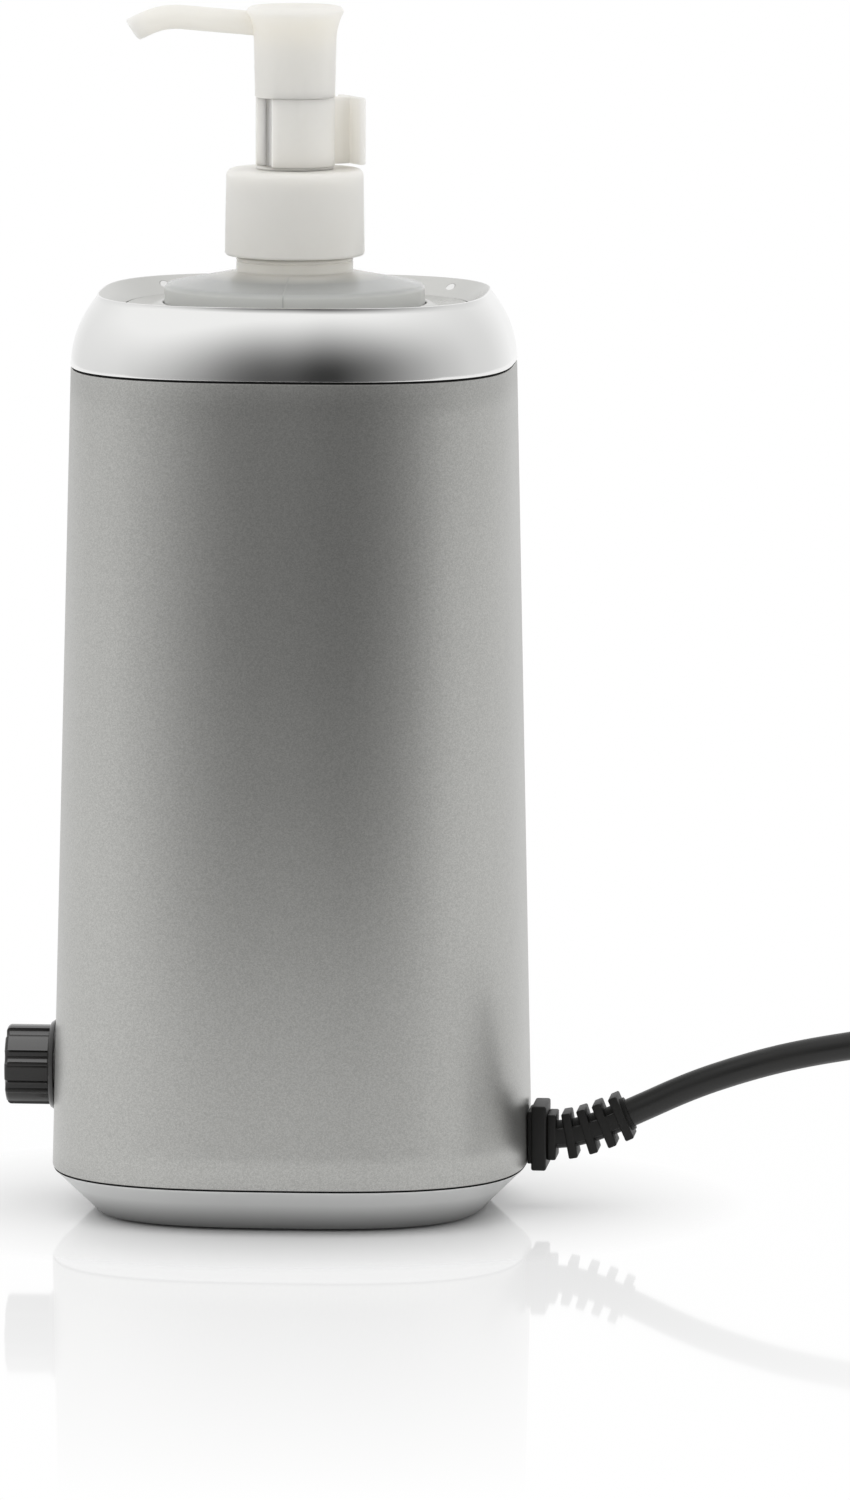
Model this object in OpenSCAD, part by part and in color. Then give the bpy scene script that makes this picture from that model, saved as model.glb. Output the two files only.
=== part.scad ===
// Massage oil warmer: a tapered casing with a heated well, and the pump bottle that stands in it.
// Frame: +Z up, origin on the table under the well's axis, knob on -X, mains cord on +X.
// All sizes are in millimetres.

/* [Casing] */
// Width across the flats at the seam of base and shell
body_w = 114; // [108:1:126]
// Width across the flats at the seam of shell and collar
neck_w = 105.6; // [102:0.2:110]
// Width of the flat underside of the base
base_w = 93; // [91:1:97]
// Height of the seam of base and shell above the table
base_h = 11; // [10:0.5:12]
// Height of the shell between its two seams
shell_h = 192; // [180:1:205]
// Wall of the moulded casing
wall = 2.5; // [2:0.1:3]
// Squareness of the plan outline, where 2 is round
squareness = 2.9; // [2.6:0.1:4]
// Height of the shadow line at each seam
seam_gap = 0.4; // [0.2:0.1:0.6]
// How far the locating spigots reach past the seams
spigot_h = 5; // [3:0.5:7]
// Thickness of the base floor
floor_t = 2.5; // [2:0.1:3.5]

/* [Collar] */
// Height of the collar from its seam to the rim
collar_h = 17.4; // [16:0.2:19]
// Radius of the collar's bulge in section
collar_r = 25.5; // [24:0.5:30]
// Width of the rounded rim in plan
rim_t = 0.8; // [0.6:0.1:1.2]
// Depth of the dish below the rim
dish_depth = 4; // [3:0.2:5]
// How far the dish wall slopes inwards
dish_slope = 3.6; // [2.5:0.1:5]
// Thickness of the dish plate
plate_t = 2.2; // [1.6:0.1:2.6]
// Height of the raised lip round the well's mouth
mouth_h = 1.4; // [0.8:0.1:2]
// Width of that lip
mouth_w = 3.2; // [2:0.1:4]
// Diameter of the four screw caps in the dish wall
cap_d = 2.7; // [2:0.1:3.2]
// Length of a screw cap
cap_l = 2; // [1.5:0.1:2.4]

/* [Foot and screws] */
// Outer diameter of the rubber foot ring
foot_d = 84; // [78:1:85]
// Width of the foot ring
foot_w = 5; // [3:0.5:8]
// How far the foot ring stands proud of the base
foot_proud = 0.5; // [0.3:0.1:1]
// Depth of the groove that holds the foot ring
foot_groove = 0.8; // [0.5:0.1:1.2]
// Distance of each base screw from the axis, along X and along Y
screw_at = 33; // [32.5:0.1:33.4]
// Diameter of the base screws
screw_d = 3; // [2.5:0.1:3.5]
// Diameter of the screw heads
screw_head_d = 6; // [5:0.1:6.4]
// Length of the base screws
screw_l = 20; // [16:0.5:26]
// Diameter of the screw posts
post_d = 8; // [7:0.5:9]
// Height of the screw posts in the shell
post_h = 30; // [26:1:34]

/* [Well] */
// Height of the cup's underside above the table
well_z = 44; // [43.5:0.5:52]
// Wall of the aluminium cup
cup_t = 1.2; // [0.8:0.1:2]
// Clearance between bottle and cup
well_gap = 0.5; // [0.3:0.1:0.9]
// Width of the cup's top flange
cup_flange = 4; // [2:0.5:5]
// Thickness of the silicone pad under the bottle
pad_t = 1.5; // [1:0.1:3]
// Wall of the insulation sleeve
sleeve_t = 4.5; // [3:0.5:6]
// Height of the stand's ring that holds the cup
stand_ring_h = 9; // [6:0.5:12]
// Wall of the stand's ring
stand_t = 3; // [2:0.1:4]
// Diameter of the stand's legs
stand_leg_d = 7; // [5:0.5:8]
// Thickness of the heater disc
heater_t = 3.8; // [3:0.1:5]
// Diameter of the heater disc
heater_d = 51; // [40:1:54]
// Diameter of the thermostat can
thermostat_d = 16; // [12:0.5:20]
// Height of the thermostat can
thermostat_h = 9; // [6:0.5:11]

/* [Control] */
// Height of the knob's axis above the table
control_z = 32.6; // [32.4:0.1:33.4]
// Diameter over the knob's lobes
knob_d = 19.2; // [17:0.2:21]
// Length of the knob with its flange
knob_l = 11.9; // [10:0.1:14]
// Diameter of the knob's flange
knob_flange_d = 22.1; // [21.5:0.1:24]
// Thickness of the knob's flange
knob_flange_t = 1.3; // [0.8:0.1:2]
// Radius of the flutes in the knob
flute_r = 1.9; // [1.5:0.1:2.5]
// Depth of the flutes
flute_depth = 1.2; // [0.8:0.1:1.5]
// Gap between knob and shell
knob_gap = 0.35; // [0.3:0.05:0.8]
// Diameter of the control's shaft
shaft_d = 6; // [4:0.1:6.2]
// Diameter of the control's threaded bush
bush_d = 7.4; // [7.2:0.1:8]
// Width across the flats of the control's nut
nut_w = 10; // [9:0.5:11]
// Thickness of the control's nut
nut_t = 2; // [1.5:0.1:2.2]
// Width of the control's case
control_w = 17; // [14:0.5:20]
// Height of the control's case
control_h = 18; // [14:0.5:18.5]
// Depth of the control's case
control_t = 9; // [7:0.5:10]
// Width of the circuit board
board_w = 40; // [34:1:46]
// Thickness of the circuit board
board_t = 1.6; // [1:0.1:2]

/* [Cord] */
// Diameter of the mains cord
cord_d = 6.8; // [6:0.1:7.2]
// Height of the cord's entry above the table
gland_z = 17.3; // [16.9:0.1:18]
// Width of the strain relief's square flange
gland_w = 15.6; // [13.6:0.2:16]
// Thickness of that flange
gland_t = 3.6; // [2.5:0.1:4.5]
// Width of the strain relief's ribs
rib_w = 11; // [10:0.1:12]
// Thickness of a rib
rib_t = 2.2; // [1.6:0.1:2.8]
// Spacing of the ribs along the cord
rib_pitch = 4.37; // [4:0.05:5]
// Angle that the strain relief bends up
relief_bend = 24; // [18:1:27]
// Width of the neck in the shell's hole
gland_neck_w = 8; // [7:0.2:8.4]
// Width of the plug
plug_w = 26; // [24:0.5:27]
// Length of the plug's body
plug_l = 45; // [40:1:48]
// Length of the plug's blades
blade_l = 16; // [14:0.5:18]
// Thickness of the strap round the coil
tie_t = 0.6; // [0.4:0.1:1]
// Width of that strap
tie_w = 9; // [6:0.5:12]

/* [Bottle] */
// Diameter of the bottle
bottle_d = 62.4; // [60:0.2:63]
// Height of the bottle from its foot to the neck bead
bottle_h = 178; // [170:1:190]
// Wall of the bottle
bottle_t = 1.2; // [0.8:0.1:1.6]
// Radius of the bottle's shoulder
shoulder_r = 6; // [4:0.5:9]
// Slope of the shoulder towards the neck
shoulder_slope = 11.4; // [8:0.2:16]
// Diameter of the bead below the thread
bead_d = 28; // [27.4:0.1:28.2]
// Height of that bead
bead_h = 2.1; // [1.5:0.1:2.8]
// Outer diameter of the threaded finish
finish_d = 26; // [25.2:0.1:27]
// Height of the finish above the bead
finish_h = 16; // [15:0.1:18]
// Bore of the neck
neck_bore = 21.8; // [20.4:0.1:22]

/* [Pump] */
// Lower outer diameter of the closure
closure_d = 33.5; // [32.5:0.1:35]
// Taper of the closure from bottom to top
closure_taper = 0.7; // [0:0.1:1.2]
// Height of the closure
closure_h = 20.7; // [19.6:0.1:21.4]
// Inner diameter of the closure over the thread
closure_bore = 28.6; // [28.4:0.1:29.4]
// Thickness of the closure's top
closure_t = 2.8; // [2.4:0.1:3.4]
// Thickness of the gasket on the neck
gasket_t = 1.1; // [0.8:0.1:1.6]
// Thickness of the pump flanges
flange_t = 1.5; // [1:0.1:2]
// Bore of the pump cylinder
cylinder_bore = 16.6; // [16.2:0.1:17]
// Wall of the pump cylinder
cylinder_t = 1.5; // [1:0.1:1.6]
// Length of the pump cylinder
cylinder_l = 50; // [48:1:58]
// Diameter of the stem
stem_d = 14; // [13:0.1:14.2]
// Bore of the stem
stem_bore = 5; // [3:0.5:6]
// Height of the guide's boss above the closure
boss_rise = 0.7; // [0.6:0.1:1.6]
// Wall of the guide's boss
boss_t = 0.9; // [0.7:0.1:1]
// Height of the piston
piston_h = 10; // [8:0.5:12]
// Diameter of the check ball
ball_d = 5; // [4.6:0.1:5.4]
// Outer diameter of the dip tube
dip_d = 6.2; // [5:0.1:6.6]
// Bore of the dip tube
dip_bore = 4.4; // [3:0.1:4.6]
// Wire of the return spring
spring_wire = 1.2; // [0.8:0.1:1.4]
// Turns of the return spring
spring_turns = 7; // [5:1:8]

/* [Pump head] */
// Diameter of the skirt at its lower edge
skirt_d = 19.1; // [18.6:0.1:21]
// Height of the skirt below the flare
skirt_h = 13.3; // [12:0.1:15]
// Height of the flare
flare_h = 7; // [6:0.1:8]
// Radius of the flare in section
flare_r = 15; // [13:0.5:20]
// Rise of the rounded top edge
crown_h = 1.4; // [1:0.1:2]
// Diameter of the spout
spout_d = 5.9; // [5:0.1:6.2]
// Bore of the spout
spout_bore = 3; // [2:0.1:3.6]
// Upward slope of the spout
spout_rise = 4.4; // [0:0.2:6]
// Reach of the spout's straight part from the axis
spout_reach = 26; // [22:0.5:32]
// Bend radius of the spout
spout_bend = 20; // [16:0.5:26]
// Angle that the spout turns down at its tip
spout_turn = 38.4; // [25:0.2:50]

/* [Lock clip] */
// Height of the clip, which fills the pump's stroke
clip_h = 16.1; // [14:0.1:18]
// Wall of the clip's ring
clip_t = 2.2; // [1.6:0.1:2.4]
// Half angle of the clip's opening
clip_open = 32; // [25:1:45]
// Direction of the clip's tab, from +X towards +Y
clip_turn = 30; // [0:1:60]
// Distance of the tab plate from the axis
tab_at = 14; // [12.5:0.1:18]
// Width of the tab plate
tab_w = 13; // [10:0.5:18]
// Thickness of the tab plate and its web
tab_t = 1.8; // [1.4:0.1:2.4]

/* [Hidden] */

$fn = 72;
plan_sides = 80;

// Clearances: a sliding fit, a snug fit, and the room round loose pieces
slide_fit = 0.1;
snug = 0.05;
room = 0.3;
// How far a cutter reaches past the face that it opens
past = 1;

// Levels of the casing
base_z = foot_proud;
floor_z = base_z + floor_t;
seam_z = base_h;
collar_z = base_h + shell_h;
rim_z = collar_z + collar_h;
plate_z = rim_z - dish_depth;

// Half-widths of the shell's outside and inside at a height
function half_out(z) = body_w / 2 - (z - base_h) / shell_h * (body_w - neck_w) / 2;
function half_in(z) = half_out(z) - wall;
// Distance from the axis to the outline, along the diagonal, per unit of half-width
diagonal = sqrt(2) / pow(2, 1 / squareness);

// Outline of the plan, a superellipse, as points at even angles
function outline(half, sides = plan_sides) = [
    for (i = [0 : sides - 1])
        let (t = 360 * i / sides)
        let (r = half / pow(pow(abs(cos(t)), squareness) + pow(abs(sin(t)), squareness), 1 / squareness))
        [r * cos(t), r * sin(t)]
];

// Points of an arc in section
function arc(cx, cy, r, from, to, steps = 6) = [
    for (i = [0 : steps])
        let (a = from + (to - from) * i / steps)
        [cx + r * cos(a), cy + r * sin(a)]
];

// Faces between rings of points; a loop of rings has no end caps
function ring_faces(rings, sides, loop) = [
    for (k = [0 : rings - (loop ? 1 : 2)])
        for (i = [0 : sides - 1])
            let (a = k * sides, b = (k + 1) % rings * sides, j = (i + 1) % sides)
            each [[a + i, b + i, b + j], [a + i, b + j, a + j]]
];
function cap_faces(rings, sides) = [
    [for (i = [0 : sides - 1]) i],
    [for (i = [sides - 1 : -1 : 0]) (rings - 1) * sides + i]
];

// Solid whose plan is the casing's outline, through [half-width, height] rings
module loft(rings, loop = false, sides = plan_sides) {
    points = [for (r = rings) for (p = outline(r[0], sides)) [p[0], p[1], r[1]]];
    faces = ring_faces(len(rings), sides, loop);
    polyhedron(points, loop ? faces : concat(faces, cap_faces(len(rings), sides)), convexity = 6);
}

module turned(points) {
    rotate_extrude(convexity = 6) polygon(points);
}

// Round tube along a path; the two end directions are given
function unit(v) = v / norm(v);
function tangents(path, first, last) = [
    for (i = [0 : len(path) - 1])
        i == 0 ? unit(first) : i == len(path) - 1 ? unit(last) : unit(path[i + 1] - path[i - 1])
];
function tube_points(path, along, r, sides) = [
    for (i = [0 : len(path) - 1])
        let (side = unit(cross([0, 0, 1], along[i])), up = cross(along[i], side))
        for (k = [0 : sides - 1])
            let (a = 360 * (k + 0.5) / sides)
            path[i] + r * (cos(a) * side + sin(a) * up)
];
module tube(path, first, last, r, sides) {
    points = tube_points(path, tangents(path, first, last), r, sides);
    count = len(path);
    faces = concat(ring_faces(count, sides, false), cap_faces(count, sides));
    polyhedron(points, [for (f = faces) [for (i = [len(f) - 1 : -1 : 0]) f[i]]], convexity = 10);
}

// Four copies, one at each corner of the square plan
module at_corners(distance) {
    for (x = [-1, 1]) for (y = [-1, 1]) translate([x * distance, y * distance, 0]) children();
}

// Well and bottle
bottle_r = bottle_d / 2;
cup_r = bottle_r + well_gap;
cup_out_r = cup_r + cup_t;
cup_floor_t = cup_t + 0.3;
plate_hole_r = cup_r + 0.2;
pad_z = well_z + cup_floor_t;
bottle_z = pad_z + pad_t;
bead_z = bottle_z + bottle_h;
finish_top = bead_z + bead_h + finish_h;
stand_bore_r = cup_out_r + room;
stand_top = well_z + stand_ring_h;
stand_lip_t = 1;
cup_top = plate_z - plate_t;
shoulder_z = bead_z - shoulder_r * sin(90 - shoulder_slope)
    - tan(shoulder_slope) * (bottle_r - shoulder_r + shoulder_r * cos(90 - shoulder_slope) - finish_d / 2);

// Pump, from the neck upwards
housing_z = finish_top + gasket_t;
guide_z = housing_z + flange_t;
guide_flange_t = flange_t - 0.4;
closure_top = guide_z + guide_flange_t + slide_fit + closure_t;
boss_top = closure_top + boss_rise;
clip_z = boss_top + slide_fit;
head_z = clip_z + clip_h + room;
stroke = clip_h - room;
stem_r = stem_d / 2;
boss_r = stem_r + boss_t;
bore_r = cylinder_bore / 2;
cylinder_r = bore_r + cylinder_t;
cylinder_floor = housing_z - cylinder_l;
cylinder_floor_t = 2;
spring_room = 28;
piston_z = cylinder_floor + spring_room;
piston_socket = 6;
stem_z = piston_z + piston_h - piston_socket + slide_fit;
socket_depth = 12;
stem_l = head_z + socket_depth - stem_z - slide_fit;

// Control
control_face = half_in(control_z + control_h / 2) - slide_fit;
nut_x = half_out(control_z - nut_w / 2) + slide_fit;
bush_end = nut_x + nut_t + 0.3;
knob_back = half_out(control_z - knob_flange_d / 2) + knob_gap;
knob_recess = bush_end + room - knob_back;
board_x = control_face - control_t;
board_z = floor_z + 4;
board_top = control_z + control_h / 2;

// Strain relief: rib angles grow quickly at first and level off
ribs = 5;
function rib_tilt(k) = relief_bend * (1 - pow(1 - k / (ribs - 1), 2));
gland_step_t = 1;
gland_step_w = gland_w - 3;
gland_x = half_out(gland_z - gland_step_w / 2) + snug;
flange_x = gland_x + gland_step_t;
rib_x = flange_x + gland_t + rib_t / 2;
function step_tilt(k) = (rib_tilt(k) + rib_tilt(k + 1)) / 2;
function rib_at(k) = k == 0 ? [rib_x, 0, gland_z]
    : rib_at(k - 1) + rib_pitch * [cos(step_tilt(k - 1)), 0, sin(step_tilt(k - 1))];
relief_dir = [cos(relief_bend), 0, sin(relief_bend)];
relief_lip = 0.9;
relief_end = rib_at(ribs - 1) + (rib_t / 2 + relief_lip) * relief_dir;
neck_inner_x = half_in(seam_z) - 2 * wall;

// Cord and coil: the coil spirals in on its upper layer and out again on the floor
cord_r = cord_d / 2;
coil_pitch = cord_d + 0.6;
coil_at = [248, -4];
coil_across = 11 * cord_d;
coil_start = 210;
coil_turns = 17 / 3;
coil_low = cord_r + tie_t + 0.15;
coil_high = coil_low + coil_pitch;
coil_out_r = coil_across / 2 + coil_pitch * coil_turns / 4;
coil_in_r = coil_across / 2 - coil_pitch * coil_turns / 4;
loop_rings = 24;
lead_in = 8;
tail = 40;
plug_z = plug_w / 2 + 0.2;
function ease(t) = let (c = max(0, min(1, t))) c * c * (3 - 2 * c);
function coil_point(u) =
    let (a = coil_start + 360 * u)
    let (r = coil_in_r + coil_pitch * abs(u - coil_turns / 2))
    let (drop = ease((u - coil_turns / 2 + 0.25) / 0.5))
    [coil_at[0] + r * cos(a), coil_at[1] + r * sin(a), coil_high - coil_pitch * drop];
coil_steps = round(coil_turns * loop_rings);
coil_first = [-sin(coil_start), cos(coil_start), 0];
coil_end = coil_start + 360 * coil_turns;
coil_last = [-sin(coil_end), cos(coil_end), 0];
coil_entry = coil_point(0) - lead_in * coil_first;
coil_exit = coil_point(coil_turns);
tail_steps = 5;
function tail_point(t) = coil_exit + tail * t * coil_last
    + [0, 0, (plug_z - coil_low) * ease(t / 0.8)];
coil_path = concat(
    [coil_entry],
    [for (i = [0 : coil_steps]) coil_point(coil_turns * i / coil_steps)],
    [for (i = [1 : tail_steps]) tail_point(i / tail_steps)]
);
plug_at = tail_point(1);

// The free stretch arches from the strain relief down to the coil
cord_route = concat(
    [relief_end],
    [[98, 0, 30.3], [116, 0, 36.1], [134, 0, 39.8], [151, 0, 42], [166, 0, 39.2], [178, -1, 32.2],
        [189, -6.3, 22.8]],
    [coil_entry]
);

// Least gap of the coil to itself, measured between points more than half a turn apart
coil_gap = min([
    for (i = [0 : coil_steps])
        for (j = [i + loop_rings / 2 : coil_steps])
            norm(coil_path[i + 1] - coil_path[j + 1])
]) - cord_d;
echo(coil_gap = coil_gap);

// Return spring, a helix with both ends lying on their seats
spring_r = (bore_r + stem_bore / 2 + spring_wire) / 2;
spring_rings = 8;
// Part of a turn at each end that lies flat
spring_flat = 0.5;
spring_low = cylinder_floor + spring_wire / 2 + snug;
spring_high = piston_z - spring_wire / 2 - snug;
spring_path = [
    for (i = [0 : spring_turns * spring_rings])
        let (u = i / spring_rings)
        [spring_r * cos(360 * u), spring_r * sin(360 * u),
            spring_low + (spring_high - spring_low)
                * max(0, min(1, (u - spring_flat) / (spring_turns - 2 * spring_flat)))]
];
spring_gap = min([
    for (i = [0 : len(spring_path) - 1])
        for (j = [i + spring_rings / 2 : 1 : len(spring_path) - 1])
            norm(spring_path[i] - spring_path[j])
]) - spring_wire;
echo(spring_gap = spring_gap);

module base_pan() {
    outer = half_out(seam_z);
    lip = 1;
    spigot = half_in(seam_z) - 0.25;
    color("gainsboro")
    difference() {
        union() {
            loft([
                [base_w / 2, base_z],
                [outer - 0.3, seam_z - seam_gap],
                [outer - lip, seam_z - seam_gap],
                [outer - lip, seam_z],
                [spigot, seam_z],
                [spigot, seam_z + spigot_h],
                [spigot - wall, seam_z + spigot_h],
                [spigot - wall, seam_z - seam_gap],
                [base_w / 2 - wall, floor_z]
            ]);
            at_corners(screw_at) translate([0, 0, floor_z - past]) cylinder(d = post_d, h = boss_h + past);
            // Slotted posts that hold the circuit board's lower edge
            for (s = [-1, 1])
                translate([-board_x, s * board_w * 0.36 - 3, floor_z - past]) translate([-3, 0, 0])
                    cube([6 + board_t, 6, board_z - floor_z + past + 4]);
        }
        translate([0, 0, base_z - past]) difference() {
            cylinder(d = foot_d + 2 * slide_fit, h = foot_groove + past);
            translate([0, 0, -past])
                cylinder(d = foot_d - 2 * foot_w - 2 * slide_fit, h = foot_groove + 3 * past);
        }
        at_corners(screw_at) {
            translate([0, 0, -past]) cylinder(d = screw_d + 2 * room, h = floor_z + boss_h + 2 * past);
            translate([0, 0, -past]) cylinder(d = screw_head_d + room, h = past + screw_z + head_t);
        }
        translate([-board_x - snug, -board_w / 2 - snug, board_z - snug])
            cube([board_t + 2 * snug, board_w + 2 * snug, board_top]);
        // Notch that lets the strain relief's neck through the spigot
        translate([half_in(seam_z) - 2 * wall, -gland_neck_w / 2 - room, gland_z - gland_neck_w / 2 - room])
            cube([3 * wall, gland_neck_w + 2 * room, spigot_h + gland_neck_w]);
    }
}

// Screw stack: head in its counterbore, boss of the base, post of the shell
head_t = 2.2;
screw_z = base_z + 1.2;
boss_h = 5;
post_z = floor_z + boss_h;

module foot_ring() {
    color("dimgray")
    difference() {
        cylinder(d = foot_d, h = foot_proud + foot_groove);
        translate([0, 0, -past])
            cylinder(d = foot_d - 2 * foot_w, h = foot_proud + foot_groove + 2 * past);
    }
}

module base_screws() {
    recess_w = screw_head_d * 0.55;
    color("silver")
    at_corners(screw_at) translate([0, 0, screw_z]) difference() {
        union() {
            cylinder(d = screw_head_d, h = head_t - snug);
            cylinder(d = screw_d, h = screw_l);
        }
        for (turn = [0, 90])
            rotate(turn) translate([-recess_w / 2, -0.4, -past]) cube([recess_w, 0.8, past + 1]);
    }
}

module shell() {
    rib_from = screw_at * sqrt(2);
    rib_z = seam_z + spigot_h + 0.5;
    rib_t = 2;
    rib_h = post_z + post_h - rib_z;
    rib_l = (half_in(post_z + post_h) + 0.6 * wall) * diagonal - rib_from;
    color("silver")
    difference() {
        union() {
            loft([
                [half_out(seam_z), seam_z],
                [half_out(collar_z), collar_z],
                [half_in(collar_z), collar_z],
                [half_in(seam_z), seam_z]
            ], loop = true);
            at_corners(screw_at) translate([0, 0, post_z]) cylinder(d = post_d, h = post_h);
            for (turn = [45 : 90 : 315])
                rotate(turn) translate([rib_from, -rib_t / 2, rib_z]) cube([rib_l, rib_t, rib_h]);
        }
        at_corners(screw_at) translate([0, 0, post_z - past])
            cylinder(d = screw_d + 2 * snug, h = screw_z + screw_l - post_z + 2 * past);
        translate([-half_out(seam_z), 0, control_z]) rotate([0, 90, 0])
            cylinder(d = bush_d + 2 * slide_fit, h = 3 * wall);
        translate([half_in(gland_z) - wall, -gland_neck_w / 2 - slide_fit,
            gland_z - gland_neck_w / 2 - slide_fit])
            cube([4 * wall, gland_neck_w + 2 * slide_fit, gland_neck_w + 2 * slide_fit]);
    }
}

module collar() {
    outer = half_out(collar_z);
    lip = 1;
    spigot = half_in(collar_z) - 0.25;
    centre = outer - collar_r;
    top = asin((collar_h - rim_t) / collar_r);
    crest = centre + collar_r * cos(top) - rim_t / 2;
    foot = crest - rim_t / 2 - dish_slope;
    shelf = 3;
    inner_r = collar_r - wall;
    shelf_z = plate_z - plate_t;
    inner_from = asin((shelf_z - 2 - collar_z) / inner_r);
    color("silver")
    difference() {
        loft(concat(
            [[outer, collar_z + seam_gap]],
            [for (p = arc(centre, collar_z, collar_r, asin(seam_gap / collar_r) + 4, top, 7)) p],
            arc(crest, rim_z - rim_t / 2, rim_t / 2, 60, 150, 2),
            [
                [foot, plate_z],
                [foot, shelf_z],
                [foot - shelf, shelf_z],
                [foot - shelf, shelf_z - 2]
            ],
            arc(centre, collar_z, inner_r, inner_from, 15, 2),
            [
                [spigot - wall, collar_z],
                [spigot - wall, collar_z - spigot_h],
                [spigot, collar_z - spigot_h],
                [spigot, collar_z],
                [outer - lip, collar_z],
                [outer - lip, collar_z + seam_gap]
            ]
        ), loop = true);
        in_dish_wall() translate([0, 0, -cap_l]) cylinder(d = cap_d + 2 * snug, h = cap_l + past);
    }
}

// Places on the sloping dish wall, one at each corner, with Z square to the wall
module in_dish_wall() {
    outer = half_out(collar_z);
    crest = outer - collar_r + sqrt(pow(collar_r, 2) - pow(collar_h - rim_t, 2)) - rim_t;
    steep = atan(dish_depth / (dish_slope * diagonal));
    for (turn = [45 : 90 : 315])
        rotate(turn) translate([(crest - dish_slope / 2) * diagonal, 0, plate_z + dish_depth / 2 - rim_t / 4])
            rotate([0, -steep, 0]) children();
}

module dish_plate() {
    outer = half_out(collar_z);
    top = asin((collar_h - rim_t) / collar_r);
    half = outer - collar_r + collar_r * cos(top) - rim_t - dish_slope - room;
    mouth_top = 0.5;
    color("silver")
    difference() {
        union() {
            loft([[half, cup_top], [half, plate_z]]);
            turned([
                [plate_hole_r - past, cup_top + plate_t / 2],
                [plate_hole_r + mouth_w, cup_top + plate_t / 2],
                [plate_hole_r + mouth_w, plate_z],
                [plate_hole_r + mouth_top, plate_z + mouth_h],
                [plate_hole_r - past, plate_z + mouth_h]
            ]);
        }
        translate([0, 0, cup_top - past]) cylinder(r = plate_hole_r, h = plate_t + mouth_h + 2 * past);
    }
}

module screw_caps() {
    color("whitesmoke")
    in_dish_wall() translate([0, 0, snug - cap_l]) cylinder(d = cap_d, h = cap_l + snug);
}

module well_cup() {
    color("lightgray")
    turned([
        [0, well_z],
        [cup_out_r, well_z],
        [cup_out_r, cup_top - cup_t],
        [cup_out_r + cup_flange, cup_top - cup_t],
        [cup_out_r + cup_flange, cup_top - snug],
        [cup_r, cup_top - snug],
        [cup_r, pad_z],
        [0, pad_z]
    ]);
}

module well_pad() {
    color("dimgray") translate([0, 0, pad_z]) cylinder(r = cup_r - 1, h = pad_t - snug);
}

module well_stand() {
    leg_at = (stand_bore_r + stand_t / 2) / sqrt(2);
    color("darkslategray")
    union() {
        turned([
            [heater_d / 2 + room, well_z - stand_lip_t],
            [stand_bore_r + stand_t, well_z - stand_lip_t],
            [stand_bore_r + stand_t, stand_top],
            [stand_bore_r, stand_top],
            [stand_bore_r, well_z],
            [heater_d / 2 + room, well_z]
        ]);
        at_corners(leg_at) translate([0, 0, floor_z])
            cylinder(d = stand_leg_d, h = well_z - stand_lip_t / 2 - floor_z);
    }
}

module insulation_sleeve() {
    color("khaki")
    translate([0, 0, stand_top]) difference() {
        cylinder(r = stand_bore_r + sleeve_t, h = cup_top - cup_t - stand_top - room);
        translate([0, 0, -past]) cylinder(r = stand_bore_r, h = cup_top - stand_top);
    }
}

// Push-on terminals of the heater and of the thermostat
heater_tab = [0.8, 6.3, 8];
heater_tab_x = heater_d * 0.36;
thermostat_tab = [6.3, 0.8, 6];

module heater_disc() {
    tab = heater_tab;
    color("gray")
    union() {
        translate([0, 0, well_z - heater_t]) cylinder(d = heater_d, h = heater_t);
        for (s = [-1, 1])
            translate([s * heater_tab_x - tab[0] / 2, -tab[1] / 2, well_z - heater_t - tab[2]])
                cube([tab[0], tab[1], tab[2] + 1]);
    }
}

module thermostat() {
    top = well_z - heater_t;
    tab = thermostat_tab;
    color("saddlebrown")
    union() {
        translate([0, 0, top - thermostat_h]) cylinder(d = thermostat_d, h = thermostat_h);
        translate([0, 0, top - 1]) cylinder(d = thermostat_d + 5, h = 1);
        for (s = [-1, 1])
            translate([-tab[0] / 2, s * thermostat_d / 4 - tab[1] / 2, top - thermostat_h - tab[2]])
                cube([tab[0], tab[1], tab[2] + 1]);
    }
}

module control_board() {
    color("darkgreen")
    translate([-board_x, -board_w / 2, board_z]) cube([board_t, board_w, board_top - board_z]);
}

module rotary_control() {
    color("slategray")
    difference() {
        union() {
            translate([-control_face, -control_w / 2, control_z - control_h / 2])
                cube([control_t, control_w, control_h]);
            translate([-bush_end, 0, control_z]) rotate([0, 90, 0])
                cylinder(d = bush_d, h = bush_end - control_face + 1);
        }
        translate([-bush_end - past, 0, control_z]) rotate([0, 90, 0])
            cylinder(d = shaft_d + 2 * snug, h = bush_end - control_face + control_t / 2 + past);
    }
}

module control_nut() {
    color("silver")
    translate([-nut_x - nut_t, 0, control_z]) rotate([0, 90, 0]) difference() {
        cylinder(d = nut_w / cos(30), h = nut_t, $fn = 6);
        translate([0, 0, -past]) cylinder(d = bush_d + 2 * snug, h = nut_t + 2 * past);
    }
}

module control_shaft() {
    from = control_face - control_t / 2 + room;
    color("gainsboro")
    translate([-from, 0, control_z]) rotate([0, -90, 0])
        cylinder(d = shaft_d, h = knob_back + knob_l - 2 - from);
}

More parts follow.
